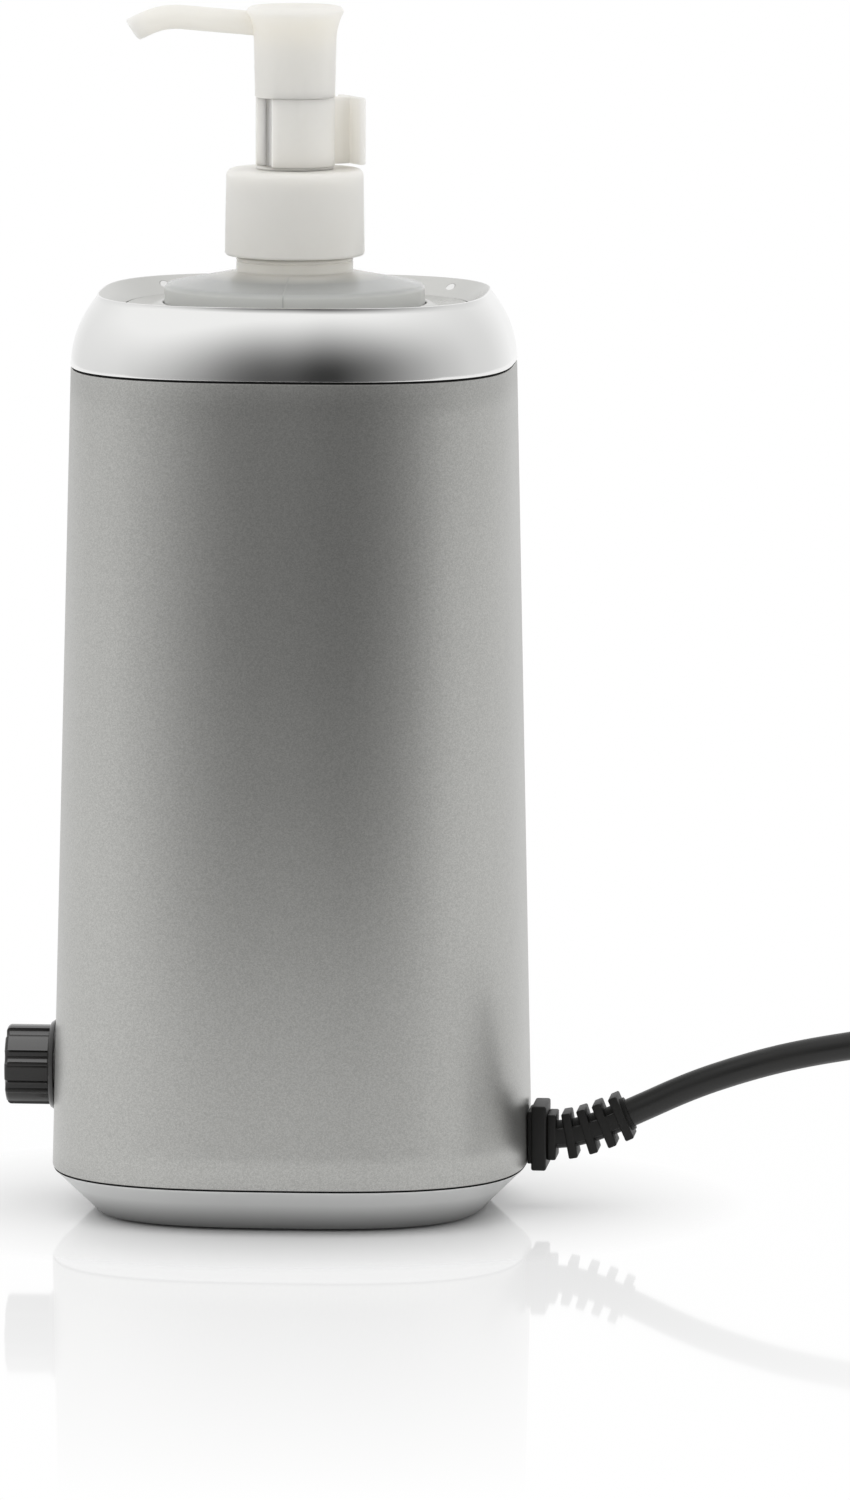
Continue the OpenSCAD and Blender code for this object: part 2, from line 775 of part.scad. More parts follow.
module knob() {
    r = knob_d / 2;
    flange_r = knob_flange_d / 2;
    edge = 0.8;
    lobes = 8;
    first_lobe = 40;
    bore_r = shaft_d / 2 + snug / 2;
    color("black")
    translate([-knob_back, 0, control_z]) rotate([0, -90, 0]) difference() {
        turned(concat(
            [[bore_r, knob_recess], [nut_w / 2 / cos(30) + 2 * room, knob_recess],
                [nut_w / 2 / cos(30) + 2 * room, 0], [flange_r, 0], [r, knob_flange_t]],
            arc(r - edge, knob_l - edge, edge, 0, 90, 3),
            [[0, knob_l], [0, knob_l - 2 + slide_fit], [bore_r, knob_l - 2 + slide_fit]]
        ));
        for (k = [0 : lobes - 1])
            rotate(first_lobe + (k + 0.5) * 360 / lobes)
                translate([r - flute_depth + flute_r, 0, knob_flange_t]) cylinder(r = flute_r, h = knob_l);
    }
}

// Terminal block between the cord's entry and the heater
block = [16, 26, 10];
block_margin = 2;
block_x = base_w / 2 - wall - block_margin - block[0];

module terminal_block() {
    poles = 3;
    color("ivory")
    translate([block_x, -block[1] / 2, floor_z]) difference() {
        cube(block);
        for (k = [0 : poles - 1])
            translate([block[0] / 2, (k + 0.5) * block[1] / poles, block[2] - 3]) cylinder(d = 4, h = 4);
    }
}

module lead_wires() {
    wire_r = 1;
    sides = 6;
    block_end = block_x + block[0];
    entry_z = floor_z + block[2] / 2;
    outer_y = block[1] * 0.31;
    inner_y = block[1] * 0.12;
    tab_y = thermostat_d / 4;
    tab_z = well_z - heater_t - thermostat_h - thermostat_tab[2] / 2;
    heat_y = heater_tab[1] / 2;
    heat_z = well_z - heater_t - heater_tab[2] / 2;
    board_y = board_w / 4;
    to_board = -board_x + board_t;
    back = [-1, 0, 0];
    color("firebrick") {
        // Three cores from the strain relief to the terminal block
        for (k = [-1, 0, 1])
            tube([[neck_inner_x, 0.32 * outer_y * k, gland_z],
                [neck_inner_x - 2 * wire_r, 0.44 * outer_y * k, gland_z - wire_r],
                [block_end + 3 * wire_r, 0.88 * outer_y * k, entry_z + 2 * wire_r],
                [block_end, outer_y * k, entry_z]], back, back, wire_r, sides);
        // One lead from the block to the thermostat
        tube([[block_x, outer_y, entry_z], [0.77 * block_x, outer_y, entry_z + 2 * wire_r],
            [0.39 * block_x, 1.5 * tab_y, tab_z - thermostat_tab[2]],
            [thermostat_tab[0] / 2, tab_y, tab_z]], back, back, wire_r, sides);
        // One lead from the block to the heater
        tube([[block_x, -outer_y, entry_z], [0.8 * block_x, -1.1 * outer_y, entry_z + 3 * wire_r],
            [heater_tab_x, -1.4 * outer_y, (entry_z + heat_z) / 2],
            [heater_tab_x, -2.5 * heat_y, heat_z - 3 * wire_r],
            [heater_tab_x, -heat_y, heat_z]], back, [0, 1, 0], wire_r, sides);
        // One lead from the thermostat to the heater
        tube([[-thermostat_tab[0] / 2, -tab_y, tab_z],
            [-0.54 * heater_tab_x, -1.5 * tab_y, tab_z + wire_r],
            [wire_r - heater_tab_x, -2.8 * heat_y, heat_z - 4 * wire_r],
            [-heater_tab_x, -heat_y, heat_z]], back, [0, 1, 0], wire_r, sides);
        // Two leads from the block to the circuit board
        for (k = [-1, 1])
            tube([[block_x, inner_y * k, entry_z], [0.7 * block_x, inner_y * k, entry_z],
                [0.46 * to_board, 0.9 * board_y * k, entry_z],
                [to_board, board_y * k, entry_z + 6 * wire_r]],
                back, back, wire_r, sides);
    }
}

module strain_relief() {
    web = 1.9;
    web_h = 3.8;
    web_inset = 0.15;
    catch = 11;
    color("black")
    union() {
        block_on_x(neck_inner_x, 2, catch);
        block_on_x(neck_inner_x, flange_x - neck_inner_x + 1, gland_neck_w);
        block_on_x(gland_x, gland_step_t + 1, gland_step_w);
        block_on_x(flange_x, gland_t, gland_w);
        for (k = [0 : ribs - 1])
            translate(rib_at(k)) rotate([0, -rib_tilt(k), 0]) cube([rib_t, rib_w, rib_w], center = true);
        for (k = [0 : ribs - 2])
            translate(rib_at(k)) rotate([0, -step_tilt(k), 0]) {
                rotate([0, 90, 0]) cylinder(r = cord_r, h = rib_pitch);
                for (s = [-1, 1])
                    translate([rib_pitch / 2, s * ((rib_w - web) / 2 - web_inset), 0])
                        cube([rib_pitch, web, web_h], center = true);
            }
        translate(rib_at(ribs - 1)) rotate([0, 90 - relief_bend, 0])
            cylinder(d = cord_d + 1.4, h = rib_t / 2 + relief_lip);
    }
}

// Square block on the cord's entry axis
module block_on_x(x, l, w) {
    translate([x, -w / 2, gland_z - w / 2]) cube([l, w, w]);
}

module cord() {
    color("black") tube(cord_route, relief_dir, coil_first, cord_r, 10);
}

module cord_coil() {
    color("black") tube(coil_path, coil_first, coil_last, cord_r, 6);
}

module coil_tie() {
    tie_turn = 300;
    inner_x = coil_in_r - cord_r - room;
    inner_l = coil_out_r - coil_in_r + cord_d + 2 * room;
    inner_h = coil_high + cord_r + room - tie_t;
    color("dimgray")
    translate([coil_at[0], coil_at[1], 0]) rotate(tie_turn) difference() {
        translate([inner_x - tie_t, -tie_w / 2, 0]) cube([inner_l + 2 * tie_t, tie_w, inner_h + 2 * tie_t]);
        translate([inner_x, -tie_w / 2 - past, tie_t]) cube([inner_l, tie_w + 2 * past, inner_h]);
    }
}

// Places the plug at the cord's end, with local Z along its length
module at_plug() {
    translate(plug_at) rotate([0, 0, coil_end + 90]) rotate([0, 90, 0]) rotate(90) children();
}

module plug() {
    tail_w = cord_d + 4;
    tail_l = 12;
    grips = 3;
    half = plug_w / 2;
    color("black")
    at_plug() union() {
        cylinder(d = tail_w, h = tail_l + 1);
        for (k = [0 : grips - 1])
            translate([0, 0, 1 + k * tail_l / grips]) cylinder(d = tail_w + 2, h = tail_l / grips / 2);
        translate([0, 0, tail_l])
            loft([[tail_w / 2 + 1, 0], [half * 0.8, 9], [half, 18], [half, plug_l - tail_l - 1],
                [half - 1, plug_l - tail_l]], sides = 32);
    }
}

module plug_pins() {
    blade = [1.5, 6.3];
    blade_gap = 12.7;
    earth_d = 4.8;
    earth_at = 8;
    color("silver")
    at_plug() translate([0, 0, plug_l]) {
        for (s = [-1, 1])
            translate([s * blade_gap / 2 - blade[0] / 2, -earth_at / 2 - blade[1] / 2, 0])
                cube([blade[0], blade[1], blade_l]);
        translate([0, earth_at * 0.75, 0]) cylinder(d = earth_d, h = blade_l + 2);
    }
}

module bottle() {
    foot_r = 4;
    wall_in = bottle_r - bottle_t;
    round_from = 90 - shoulder_slope;
    neck_r = finish_d / 2;
    bore = neck_bore / 2;
    inner_edge = arc(bottle_r - shoulder_r, shoulder_z, shoulder_r - bottle_t, round_from, 0);
    color("lightblue")
    turned(concat(
        [[0, bottle_z]],
        arc(bottle_r - foot_r, bottle_z + foot_r, foot_r, 270, 360),
        arc(bottle_r - shoulder_r, shoulder_z, shoulder_r, 0, round_from),
        [
            [bead_d / 2, bead_z - (bead_d / 2 - neck_r) * tan(shoulder_slope)],
            [bead_d / 2, bead_z + bead_h],
            [neck_r, bead_z + bead_h],
            [neck_r, finish_top],
            [bore, finish_top],
            [bore, inner_edge[0][1] + (inner_edge[0][0] - bore) * tan(shoulder_slope)]
        ],
        inner_edge,
        arc(bottle_r - foot_r, bottle_z + foot_r, foot_r - bottle_t, 360, 270),
        [[0, bottle_z + bottle_t]]
    ));
}

module neck_gasket() {
    color("whitesmoke")
    translate([0, 0, finish_top]) difference() {
        cylinder(d = finish_d, h = gasket_t);
        translate([0, 0, -past]) cylinder(r = cylinder_r + slide_fit, h = gasket_t + 2 * past);
    }
}

// Valve end of the pump cylinder
ball_r = ball_d / 2;
seat_r = ball_r * 0.72;
chamber_r = ball_r + 0.9;
chamber_h = 7;
seat_z = cylinder_floor - chamber_h;
seat_t = 3;
retain_r = ball_r - 0.3;
retain_t = 1;
retain_slot = 1.2;
nipple_l = 6;
ball_z = seat_z + sqrt(pow(ball_r, 2) - pow(seat_r, 2)) + snug;

module pump_housing() {
    nipple_r = dip_d / 2 + 1.5;
    slot_l = retain_r + chamber_r;
    color("white")
    difference() {
        turned([
            [seat_r, seat_z - seat_t],
            [dip_d / 2 + snug / 2, seat_z - seat_t],
            [dip_d / 2 + snug / 2, seat_z - seat_t - nipple_l],
            [nipple_r, seat_z - seat_t - nipple_l],
            [nipple_r + 0.5, cylinder_floor - cylinder_floor_t - 2],
            [cylinder_r, cylinder_floor - cylinder_floor_t],
            [cylinder_r, housing_z],
            [finish_d / 2, housing_z],
            [finish_d / 2, guide_z],
            [bore_r, guide_z],
            [bore_r, cylinder_floor],
            [retain_r, cylinder_floor],
            [retain_r, cylinder_floor - retain_t],
            [chamber_r, cylinder_floor - retain_t],
            [chamber_r, seat_z],
            [seat_r, seat_z]
        ]);
        // Slots that let the oil past the retaining lip
        for (turn = [0, 90])
            rotate(turn) translate([-slot_l / 2, -retain_slot / 2, cylinder_floor - retain_t - past / 2])
                cube([slot_l, retain_slot, retain_t + past]);
    }
}

module dip_tube() {
    low = bottle_z + bottle_t + 3;
    color("white")
    translate([0, 0, low]) difference() {
        cylinder(d = dip_d, h = seat_z - seat_t - low);
        translate([0, 0, -past]) cylinder(d = dip_bore, h = seat_z - low + past);
    }
}

module check_ball() {
    color("silver") translate([0, 0, ball_z]) sphere(d = ball_d);
}

module return_spring() {
    color("silver") tube(spring_path, [0, 1, 0], [0, 1, 0], spring_wire / 2, 6);
}

module guide_sleeve() {
    inner = stem_r + slide_fit;
    color("white")
    turned([
        [inner, piston_z + piston_h + slide_fit],
        [bore_r - slide_fit, piston_z + piston_h + slide_fit],
        [bore_r - slide_fit, guide_z],
        [finish_d / 2 - 0.6, guide_z],
        [finish_d / 2 - 0.6, guide_z + guide_flange_t],
        [boss_r, guide_z + guide_flange_t],
        [boss_r, boss_top],
        [inner, boss_top]
    ]);
}

module piston() {
    r = bore_r - slide_fit;
    waist = r - 0.5;
    seal = 2;
    floor_at = piston_z + piston_h - piston_socket;
    socket = stem_r + snug;
    color("white")
    turned([
        [stem_bore / 2, piston_z],
        [r, piston_z],
        [r, piston_z + seal],
        [waist, piston_z + seal],
        [waist, piston_z + piston_h - seal],
        [r, piston_z + piston_h - seal],
        [r, piston_z + piston_h],
        [socket, piston_z + piston_h],
        [socket, floor_at],
        [stem_bore / 2, floor_at]
    ]);
}

module pump_stem() {
    color("white")
    translate([0, 0, stem_z]) difference() {
        cylinder(r = stem_r, h = stem_l);
        translate([0, 0, -past]) cylinder(d = stem_bore, h = stem_l + 2 * past);
    }
}

module closure() {
    low = closure_top - closure_h;
    r_low = closure_d / 2;
    r_high = r_low - closure_taper / 2;
    edge = 1.2;
    low_edge = 0.8;
    hole = boss_r + room;
    color("whitesmoke")
    turned(concat(
        [[closure_bore / 2, low], [r_low - low_edge, low], [r_low, low + low_edge]],
        arc(r_high - edge, closure_top - edge, edge, 0, 90, 4),
        [[hole, closure_top], [hole, closure_top - closure_t], [closure_bore / 2, closure_top - closure_t]]
    ));
}

// Plane of the spout: local X runs out along -X, local Y runs up
module spout_plane() {
    rotate([90, 0, 180]) children();
}

// The bent tip is a little slimmer than the straight part and starts inside it
tip_draft = 0.1;
tip_overlap = 1;

module spout_run(d, from, extra) {
    axis_z = head_z + skirt_h + 4.4 - (skirt_d / 2 + 0.7) * tan(spout_rise);
    run = spout_reach / cos(spout_rise);
    spout_plane() translate([0, axis_z, 0]) rotate(spout_rise) {
        translate([from, 0, 0]) rotate([0, 90, 0]) cylinder(d = d, h = run - from);
        translate([run, -spout_bend, 0]) rotate(90 - spout_turn - extra)
            rotate_extrude(angle = spout_turn + extra + tip_overlap)
                translate([spout_bend, 0]) circle(d = d - tip_draft);
    }
}

module pump_head() {
    r = skirt_d / 2;
    r_top = r + 0.3;
    flare_z = head_z + skirt_h;
    crown_z = flare_z + flare_h;
    r_crown = r_top + flare_r - sqrt(pow(flare_r, 2) - pow(flare_h, 2));
    socket = stem_r + snug / 2;
    ceiling = head_z + socket_depth;
    color("white")
    difference() {
        union() {
            turned(concat(
                [[0, head_z], [r, head_z]],
                arc(r_top + flare_r, flare_z, flare_r, 180, 180 - asin(flare_h / flare_r)),
                arc(r_crown - crown_h, crown_z, crown_h, 0, 90, 3),
                [[r_crown - 2 * crown_h, crown_z + crown_h - 0.3], [0, crown_z + crown_h - 0.7]]
            ));
            spout_run(spout_d, stem_bore / 2, 0);
        }
        translate([0, 0, head_z - past]) cylinder(r = socket, h = socket_depth + past);
        translate([0, 0, ceiling - past]) cylinder(d = spout_bore, h = skirt_h - socket_depth + 4 + past);
        spout_run(spout_bore, 0, 1);
    }
}

module lock_clip() {
    inner = stem_r + room;
    outer = inner + clip_t;
    reach = 2 * outer;
    color("white")
    translate([0, 0, clip_z]) rotate(clip_turn) linear_extrude(clip_h) {
        difference() {
            circle(r = outer);
            circle(r = inner);
            polygon([[0, 0],
                for (a = [-1, 0, 1]) reach * [cos(180 + a * clip_open), sin(180 + a * clip_open)]]);
        }
        translate([outer - clip_t / 2, -tab_t / 2]) square([tab_at - outer + clip_t, tab_t]);
        translate([tab_at, -tab_w / 2]) square([tab_t, tab_w]);
    }
}

base_pan();
foot_ring();
base_screws();
shell();
collar();
dish_plate();
screw_caps();
well_cup();
well_pad();
well_stand();
insulation_sleeve();
heater_disc();
thermostat();
control_board();
rotary_control();
control_nut();
control_shaft();
knob();
terminal_block();
lead_wires();
strain_relief();
cord();
cord_coil();
coil_tie();
plug();
plug_pins();
bottle();
neck_gasket();
pump_housing();
dip_tube();
check_ball();
return_spring();
guide_sleeve();
piston();
pump_stem();
closure();
pump_head();
lock_clip();
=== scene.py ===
import math

import bmesh
import bpy
from mathutils import Matrix, Vector


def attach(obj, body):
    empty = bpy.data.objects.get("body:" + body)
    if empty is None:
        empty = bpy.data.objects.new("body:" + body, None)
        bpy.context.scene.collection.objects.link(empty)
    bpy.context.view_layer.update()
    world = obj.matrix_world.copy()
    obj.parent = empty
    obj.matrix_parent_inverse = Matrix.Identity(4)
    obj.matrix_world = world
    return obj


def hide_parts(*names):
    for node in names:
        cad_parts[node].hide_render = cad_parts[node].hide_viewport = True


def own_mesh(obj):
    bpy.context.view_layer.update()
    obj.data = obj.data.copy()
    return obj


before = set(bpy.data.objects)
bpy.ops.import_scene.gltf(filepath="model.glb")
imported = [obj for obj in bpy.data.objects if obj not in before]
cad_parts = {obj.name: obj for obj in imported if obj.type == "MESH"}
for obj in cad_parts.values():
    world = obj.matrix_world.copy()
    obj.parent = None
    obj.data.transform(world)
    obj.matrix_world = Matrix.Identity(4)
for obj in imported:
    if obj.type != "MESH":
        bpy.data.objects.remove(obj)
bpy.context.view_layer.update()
scene = bpy.context.scene
scene.view_settings.view_transform = "Standard"

# Camera: a long lens a little above the casing's middle and a few degrees round to the cord's side.
# The lens is worked out for a frame of 850 by 1500, whose long side the sensor's 36 mm cover.
turn, rise, roll = math.radians(4.633), math.radians(6.885), math.radians(0.172)
camera_distance, aim_side, aim_height, sensor = 3.7437, 0.03151, 0.10974, 36.0
focal_px, frame_px = 15588.6, 1500
camera_back = Vector((math.sin(turn) * math.cos(rise), -math.cos(turn) * math.cos(rise), math.sin(rise)))
camera_right = Vector((math.cos(turn), math.sin(turn), 0.0))
camera_up = camera_back.cross(camera_right)
aim = aim_side * camera_right + Vector((0.0, 0.0, aim_height))
across = camera_right * math.cos(roll) + camera_up * math.sin(roll)
upright = camera_up * math.cos(roll) - camera_right * math.sin(roll)
camera_data = bpy.data.cameras.new("camera")
camera_data.sensor_width = sensor
camera_data.lens = focal_px / frame_px * sensor
camera_data.clip_end = 50.0
camera = bpy.data.objects.new("camera", camera_data)
camera.matrix_world = Matrix.Translation(aim + camera_distance * camera_back) @ Matrix(
    (across, upright, camera_back)
).transposed().to_4x4()
scene.collection.objects.link(camera)
scene.camera = camera

# Table: a polished white sheet. It mirrors the object faintly, less and less with the distance from it.
# The edge is close, so that the casing mirrors the table low down and the dim room higher up.
table_half, table_centre = (2.0, 1.6, 1.0), (0.1, 0.98, -0.0002)
table = bmesh.new()
bmesh.ops.create_grid(table, x_segments=2, y_segments=2, size=1.0)
bmesh.ops.scale(table, vec=table_half, verts=table.verts)
bmesh.ops.translate(table, vec=table_centre, verts=table.verts)
table_mesh = bpy.data.meshes.new("table")
table.to_mesh(table_mesh)
table.free()
table_top = bpy.data.objects.new("table", table_mesh)
scene.collection.objects.link(table_top)


def finish(name):
    """A new material, its node tree and its shader."""
    made = bpy.data.materials.new(name)
    made.use_nodes = True
    return made, made.node_tree, made.node_tree.nodes["Principled BSDF"]


def set_inputs(node, values):
    """Sets the inputs that are named, with underscores or spaces in their names."""
    for socket, value in values.items():
        node.inputs[socket.replace("_", " ")].default_value = value


def add(tree, kind, **values):
    """A new node, with the values of the inputs that are named."""
    node = tree.nodes.new(kind)
    set_inputs(node, values)
    return node


def calc(tree, operation, second=None, clamp=False):
    """A new math node, with its second value where that is fixed."""
    node = tree.nodes.new("ShaderNodeMath")
    node.operation = operation
    node.use_clamp = clamp
    if second is not None:
        node.inputs[1].default_value = second
    return node


def link(tree, *joins):
    """Links nodes; a join is a node and its output, then a node and its input."""
    for source, output, target, entry in joins:
        tree.links.new(source.outputs[output], target.inputs[entry])


white_sheet, tree, sheet_skin = finish("white_sheet")
set_inputs(sheet_skin, {"Base Color": (0.93, 0.93, 0.93, 1.0), "Roughness": 0.9, "Specular IOR Level": 0.0})
mirror = add(tree, "ShaderNodeBsdfGlossy", Roughness=0.04, Color=(1.0, 1.0, 1.0, 1.0))
place = add(tree, "ShaderNodeTexCoord")
fade = add(tree, "ShaderNodeMapRange", From_Min=0.03, From_Max=0.43, To_Min=0.26, To_Max=0.0)
polish = add(tree, "ShaderNodeMixShader")
# Far from the object the sheet runs into the white background, in mirror images too.
reach = add(tree, "ShaderNodeVectorMath")
reach.operation = "LENGTH"
far = add(tree, "ShaderNodeMapRange", From_Min=0.052, From_Max=0.11)
path = add(tree, "ShaderNodeLightPath")
watched = calc(tree, "MAXIMUM")
far_seen = calc(tree, "MULTIPLY")
background = add(tree, "ShaderNodeEmission")
sweep = add(tree, "ShaderNodeMixShader")
# From below the sheet is clear, so that the object's underside can be seen.
facing = add(tree, "ShaderNodeNewGeometry")
clear = add(tree, "ShaderNodeBsdfTransparent")
from_below = add(tree, "ShaderNodeMixShader")
link(
    tree,
    (reach, "Value", fade, "Value"),
    (fade, "Result", polish, "Fac"),
    (sweep, "Shader", polish, 1),
    (mirror, "BSDF", polish, 2),
    (place, "Object", reach, 0),
    (reach, "Value", far, "Value"),
    (far, "Result", far_seen, 0),
    (path, "Is Camera Ray", watched, 0),
    (path, "Is Glossy Ray", watched, 1),
    (watched, "Value", far_seen, 1),
    (far_seen, "Value", sweep, "Fac"),
    (sheet_skin, "BSDF", sweep, 1),
    (background, "Emission", sweep, 2),
    (facing, "Backfacing", from_below, "Fac"),
    (polish, "Shader", from_below, 1),
    (clear, "BSDF", from_below, 2),
    (from_below, "Shader", tree.nodes["Material Output"], "Surface"),
)
table_mesh.materials.append(white_sheet)

# Studio: a white room that is dim only behind the camera, and four soft boxes that no mirror shows.
# A fifth is there for glossy black parts alone, which show it as their highlight.
# The camera, and what is seen through clear parts, has plain white behind the object.


def blend(tree, second=None):
    """A new mix of two colours, with its second colour where that is fixed."""
    node = tree.nodes.new("ShaderNodeMix")
    node.data_type = "RGBA"
    if second is not None:
        node.inputs[7].default_value = (*second, 1.0)
    return node


room = bpy.data.worlds.new("studio")
room.use_nodes = True
tree = room.node_tree
backdrop = tree.nodes["Background"]
look = add(tree, "ShaderNodeTexCoord")
towards = add(tree, "ShaderNodeSeparateXYZ")
forwards = calc(tree, "MULTIPLY", -1.0)
bearing = calc(tree, "ARCTAN2")
share = add(tree, "ShaderNodeMapRange", From_Min=-math.pi, From_Max=math.pi)
ramp = add(tree, "ShaderNodeValToRGB")
ramp.color_ramp.elements[0].color = (1.0, 1.0, 1.0, 1.0)
# How bright the room is at bearings in degrees from straight behind the camera; it is white at 180.
for degrees, level in (
    (-140, 0.84), (-115, 0.83), (-82, 0.80), (-55, 0.68), (-35, 0.53), (-20, 0.35), (-11, 0.19), (-5, 0.085),
    (-1, 0.04), (5, 0.04), (11, 0.085), (25, 0.19), (44, 0.355), (72, 0.56), (107, 0.74), (140, 0.80),
):
    ramp.color_ramp.elements.new(0.5 + degrees / 360).color = (level, level, level, 1.0)
above = calc(tree, "MAXIMUM", 0.0)
ceiling = calc(tree, "POWER", 2.5)
leftwards = calc(tree, "MULTIPLY", -1.3, clamp=True)
left_lift = calc(tree, "MULTIPLY")
lifted = calc(tree, "MULTIPLY_ADD", 1.15, clamp=True)
path = add(tree, "ShaderNodeLightPath")
plain = calc(tree, "MAXIMUM")
whole = calc(tree, "MAXIMUM")
seen = blend(tree, (1.0, 1.0, 1.0))
link(
    tree,
    (look, "Generated", towards, "Vector"),
    (towards, "X", bearing, 0),
    (towards, "Y", forwards, 0),
    (forwards, "Value", bearing, 1),
    (bearing, "Value", share, "Value"),
    (share, "Result", ramp, "Fac"),
    (towards, "Z", above, 0),
    (above, "Value", ceiling, 0),
    (path, "Is Camera Ray", plain, 0),
    (path, "Is Transmission Ray", plain, 1),
    (plain, "Value", whole, 0),
    (towards, "X", leftwards, 0),
    (leftwards, "Value", left_lift, 0),
    (above, "Value", left_lift, 1),
    (ceiling, "Value", lifted, 0),
    (left_lift, "Value", lifted, 2),
    (lifted, "Value", whole, 1),
    (whole, "Value", seen, 0),
    (ramp, "Color", seen, 6),
    (seen, 2, backdrop, "Color"),
)
scene.world = room
black_gloss = bpy.data.collections.new("black_gloss")
box_side, lit_point = 1.2, Vector((0.0, 0.0, 0.12))
for name, spot, power in (
    ("box_left", (-1.6, -0.8, 0.28), 6.2),
    ("box_right", (1.6, -0.8, 0.28), 9.4),
    ("box_above", (0.0, -0.25, 1.7), 0.8),
    ("box_front", (0.3, -3.0, 0.35), 12.5),
    ("box_glint", (-0.06, -0.36, 0.97), 10.0),
):
    lamp = bpy.data.lights.new(name, "AREA")
    lamp.energy, lamp.size = power, box_side
    soft_box = bpy.data.objects.new(name, lamp)
    soft_box.location = spot
    soft_box.rotation_euler = (lit_point - Vector(spot)).to_track_quat("-Z", "Y").to_euler()
    if name == "box_glint":
        soft_box.light_linking.receiver_collection = black_gloss
    else:
        soft_box.visible_glossy = False
    scene.collection.objects.link(soft_box)

# Mains cord: three cores in a round black jacket, moulded into the strain relief and the plug.
# It arches out of the strain relief, lies down and is wound into a coil of two layers, kept with a strap.
jacket_d = 0.0068
coil_x, coil_y = 0.248, -0.004
coil_pitch, coil_turns = 0.0074, 17 / 3
coil_in = 0.0374 - coil_pitch * coil_turns / 4
coil_high = 0.01155
coil_start, steps_a_turn = math.radians(210), 24
drop_turns, span_steps = 0.5, 3
tail_steps, tail_run, tail_rise, rise_share = 8, 0.04, 0.00905, 0.8


def eased(t):
    """From 0 to 1 with a soft start and end."""
    t = max(0.0, min(1.0, t))
    return t * t * (3 - 2 * t)


free_route = [
    (0.08128, 0.0, 0.02283), (0.098, 0.0, 0.0303), (0.116, 0.0, 0.0361), (0.134, 0.0, 0.0398), (0.151, 0.0, 0.042),
    (0.166, 0.0, 0.0392), (0.178, -0.001, 0.0322), (0.189, -0.0063, 0.0228), (0.20253, -0.02101, 0.01155),
]
free_route = [Vector(spot) for spot in free_route]
# The cord leaves the strain relief along its bend and runs into the coil along the first turn.
leaving = [Vector((0.9135, 0.0, 0.4067)) * 0.017]
leaving += [(b - a) / 2 for a, b in zip(free_route, free_route[2:])]
leaving += [Vector((0.5, -0.866, 0.0)) * 0.014]
centreline = []
for a, b, ta, tb in zip(free_route, free_route[1:], leaving, leaving[1:]):
    for step in range(span_steps):
        t = step / span_steps
        centreline.append(
            (2 * t**3 - 3 * t**2 + 1) * a
            + (t**3 - 2 * t**2 + t) * ta
            + (3 * t**2 - 2 * t**3) * b
            + (t**3 - t**2) * tb
        )
centreline.append(free_route[-1])
for step in range(round(coil_turns * steps_a_turn) + 1):
    u = step / steps_a_turn
    angle = coil_start + 2 * math.pi * u
    radius = coil_in + coil_pitch * abs(u - coil_turns / 2)
    height = coil_high - coil_pitch * eased((u - coil_turns / 2 + drop_turns / 2) / drop_turns)
    centreline.append(Vector((coil_x + radius * math.cos(angle), coil_y + radius * math.sin(angle), height)))
tail = centreline[-1].copy()
for step in range(1, tail_steps + 1):
    t = step / tail_steps
    centreline.append(tail + Vector((-tail_run * t, 0.0, tail_rise * eased(t / rise_share))))


def cable(name, routes, radius, steps_along, steps_round):
    """Round cables along routes of points in metres, as one curve object."""
    curve = bpy.data.curves.new(name, "CURVE")
    curve.dimensions = "3D"
    curve.bevel_depth = 1.0
    curve.bevel_resolution = steps_round
    curve.resolution_u = steps_along
    curve.use_fill_caps = True
    for route in routes:
        line = curve.splines.new("BEZIER")
        line.bezier_points.add(len(route) - 1)
        for knot, where in zip(line.bezier_points, route):
            knot.co = where
            knot.radius = radius
            knot.handle_left_type = knot.handle_right_type = "AUTO"
    obj = bpy.data.objects.new(name, curve)
    scene.collection.objects.link(obj)
    return obj


mains_cord = cable("mains_cord", [centreline], jacket_d / 2, 5, 6)
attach(mains_cord, "warmer")
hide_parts("cord", "cord_coil")


def new_group(name, inputs, outputs):
    """An empty shader node group with its sockets, for an effect that several finishes share."""
    made = bpy.data.node_groups.new(name, "ShaderNodeTree")
    for socket, value in inputs:
        kind = "NodeSocketFloat" if isinstance(value, float) else "NodeSocketColor"
        made.interface.new_socket(socket, in_out="INPUT", socket_type=kind).default_value = value
    for socket, kind in outputs:
        made.interface.new_socket(socket, in_out="OUTPUT", socket_type=kind)
    return made, made.nodes.new("NodeGroupInput"), made.nodes.new("NodeGroupOutput")


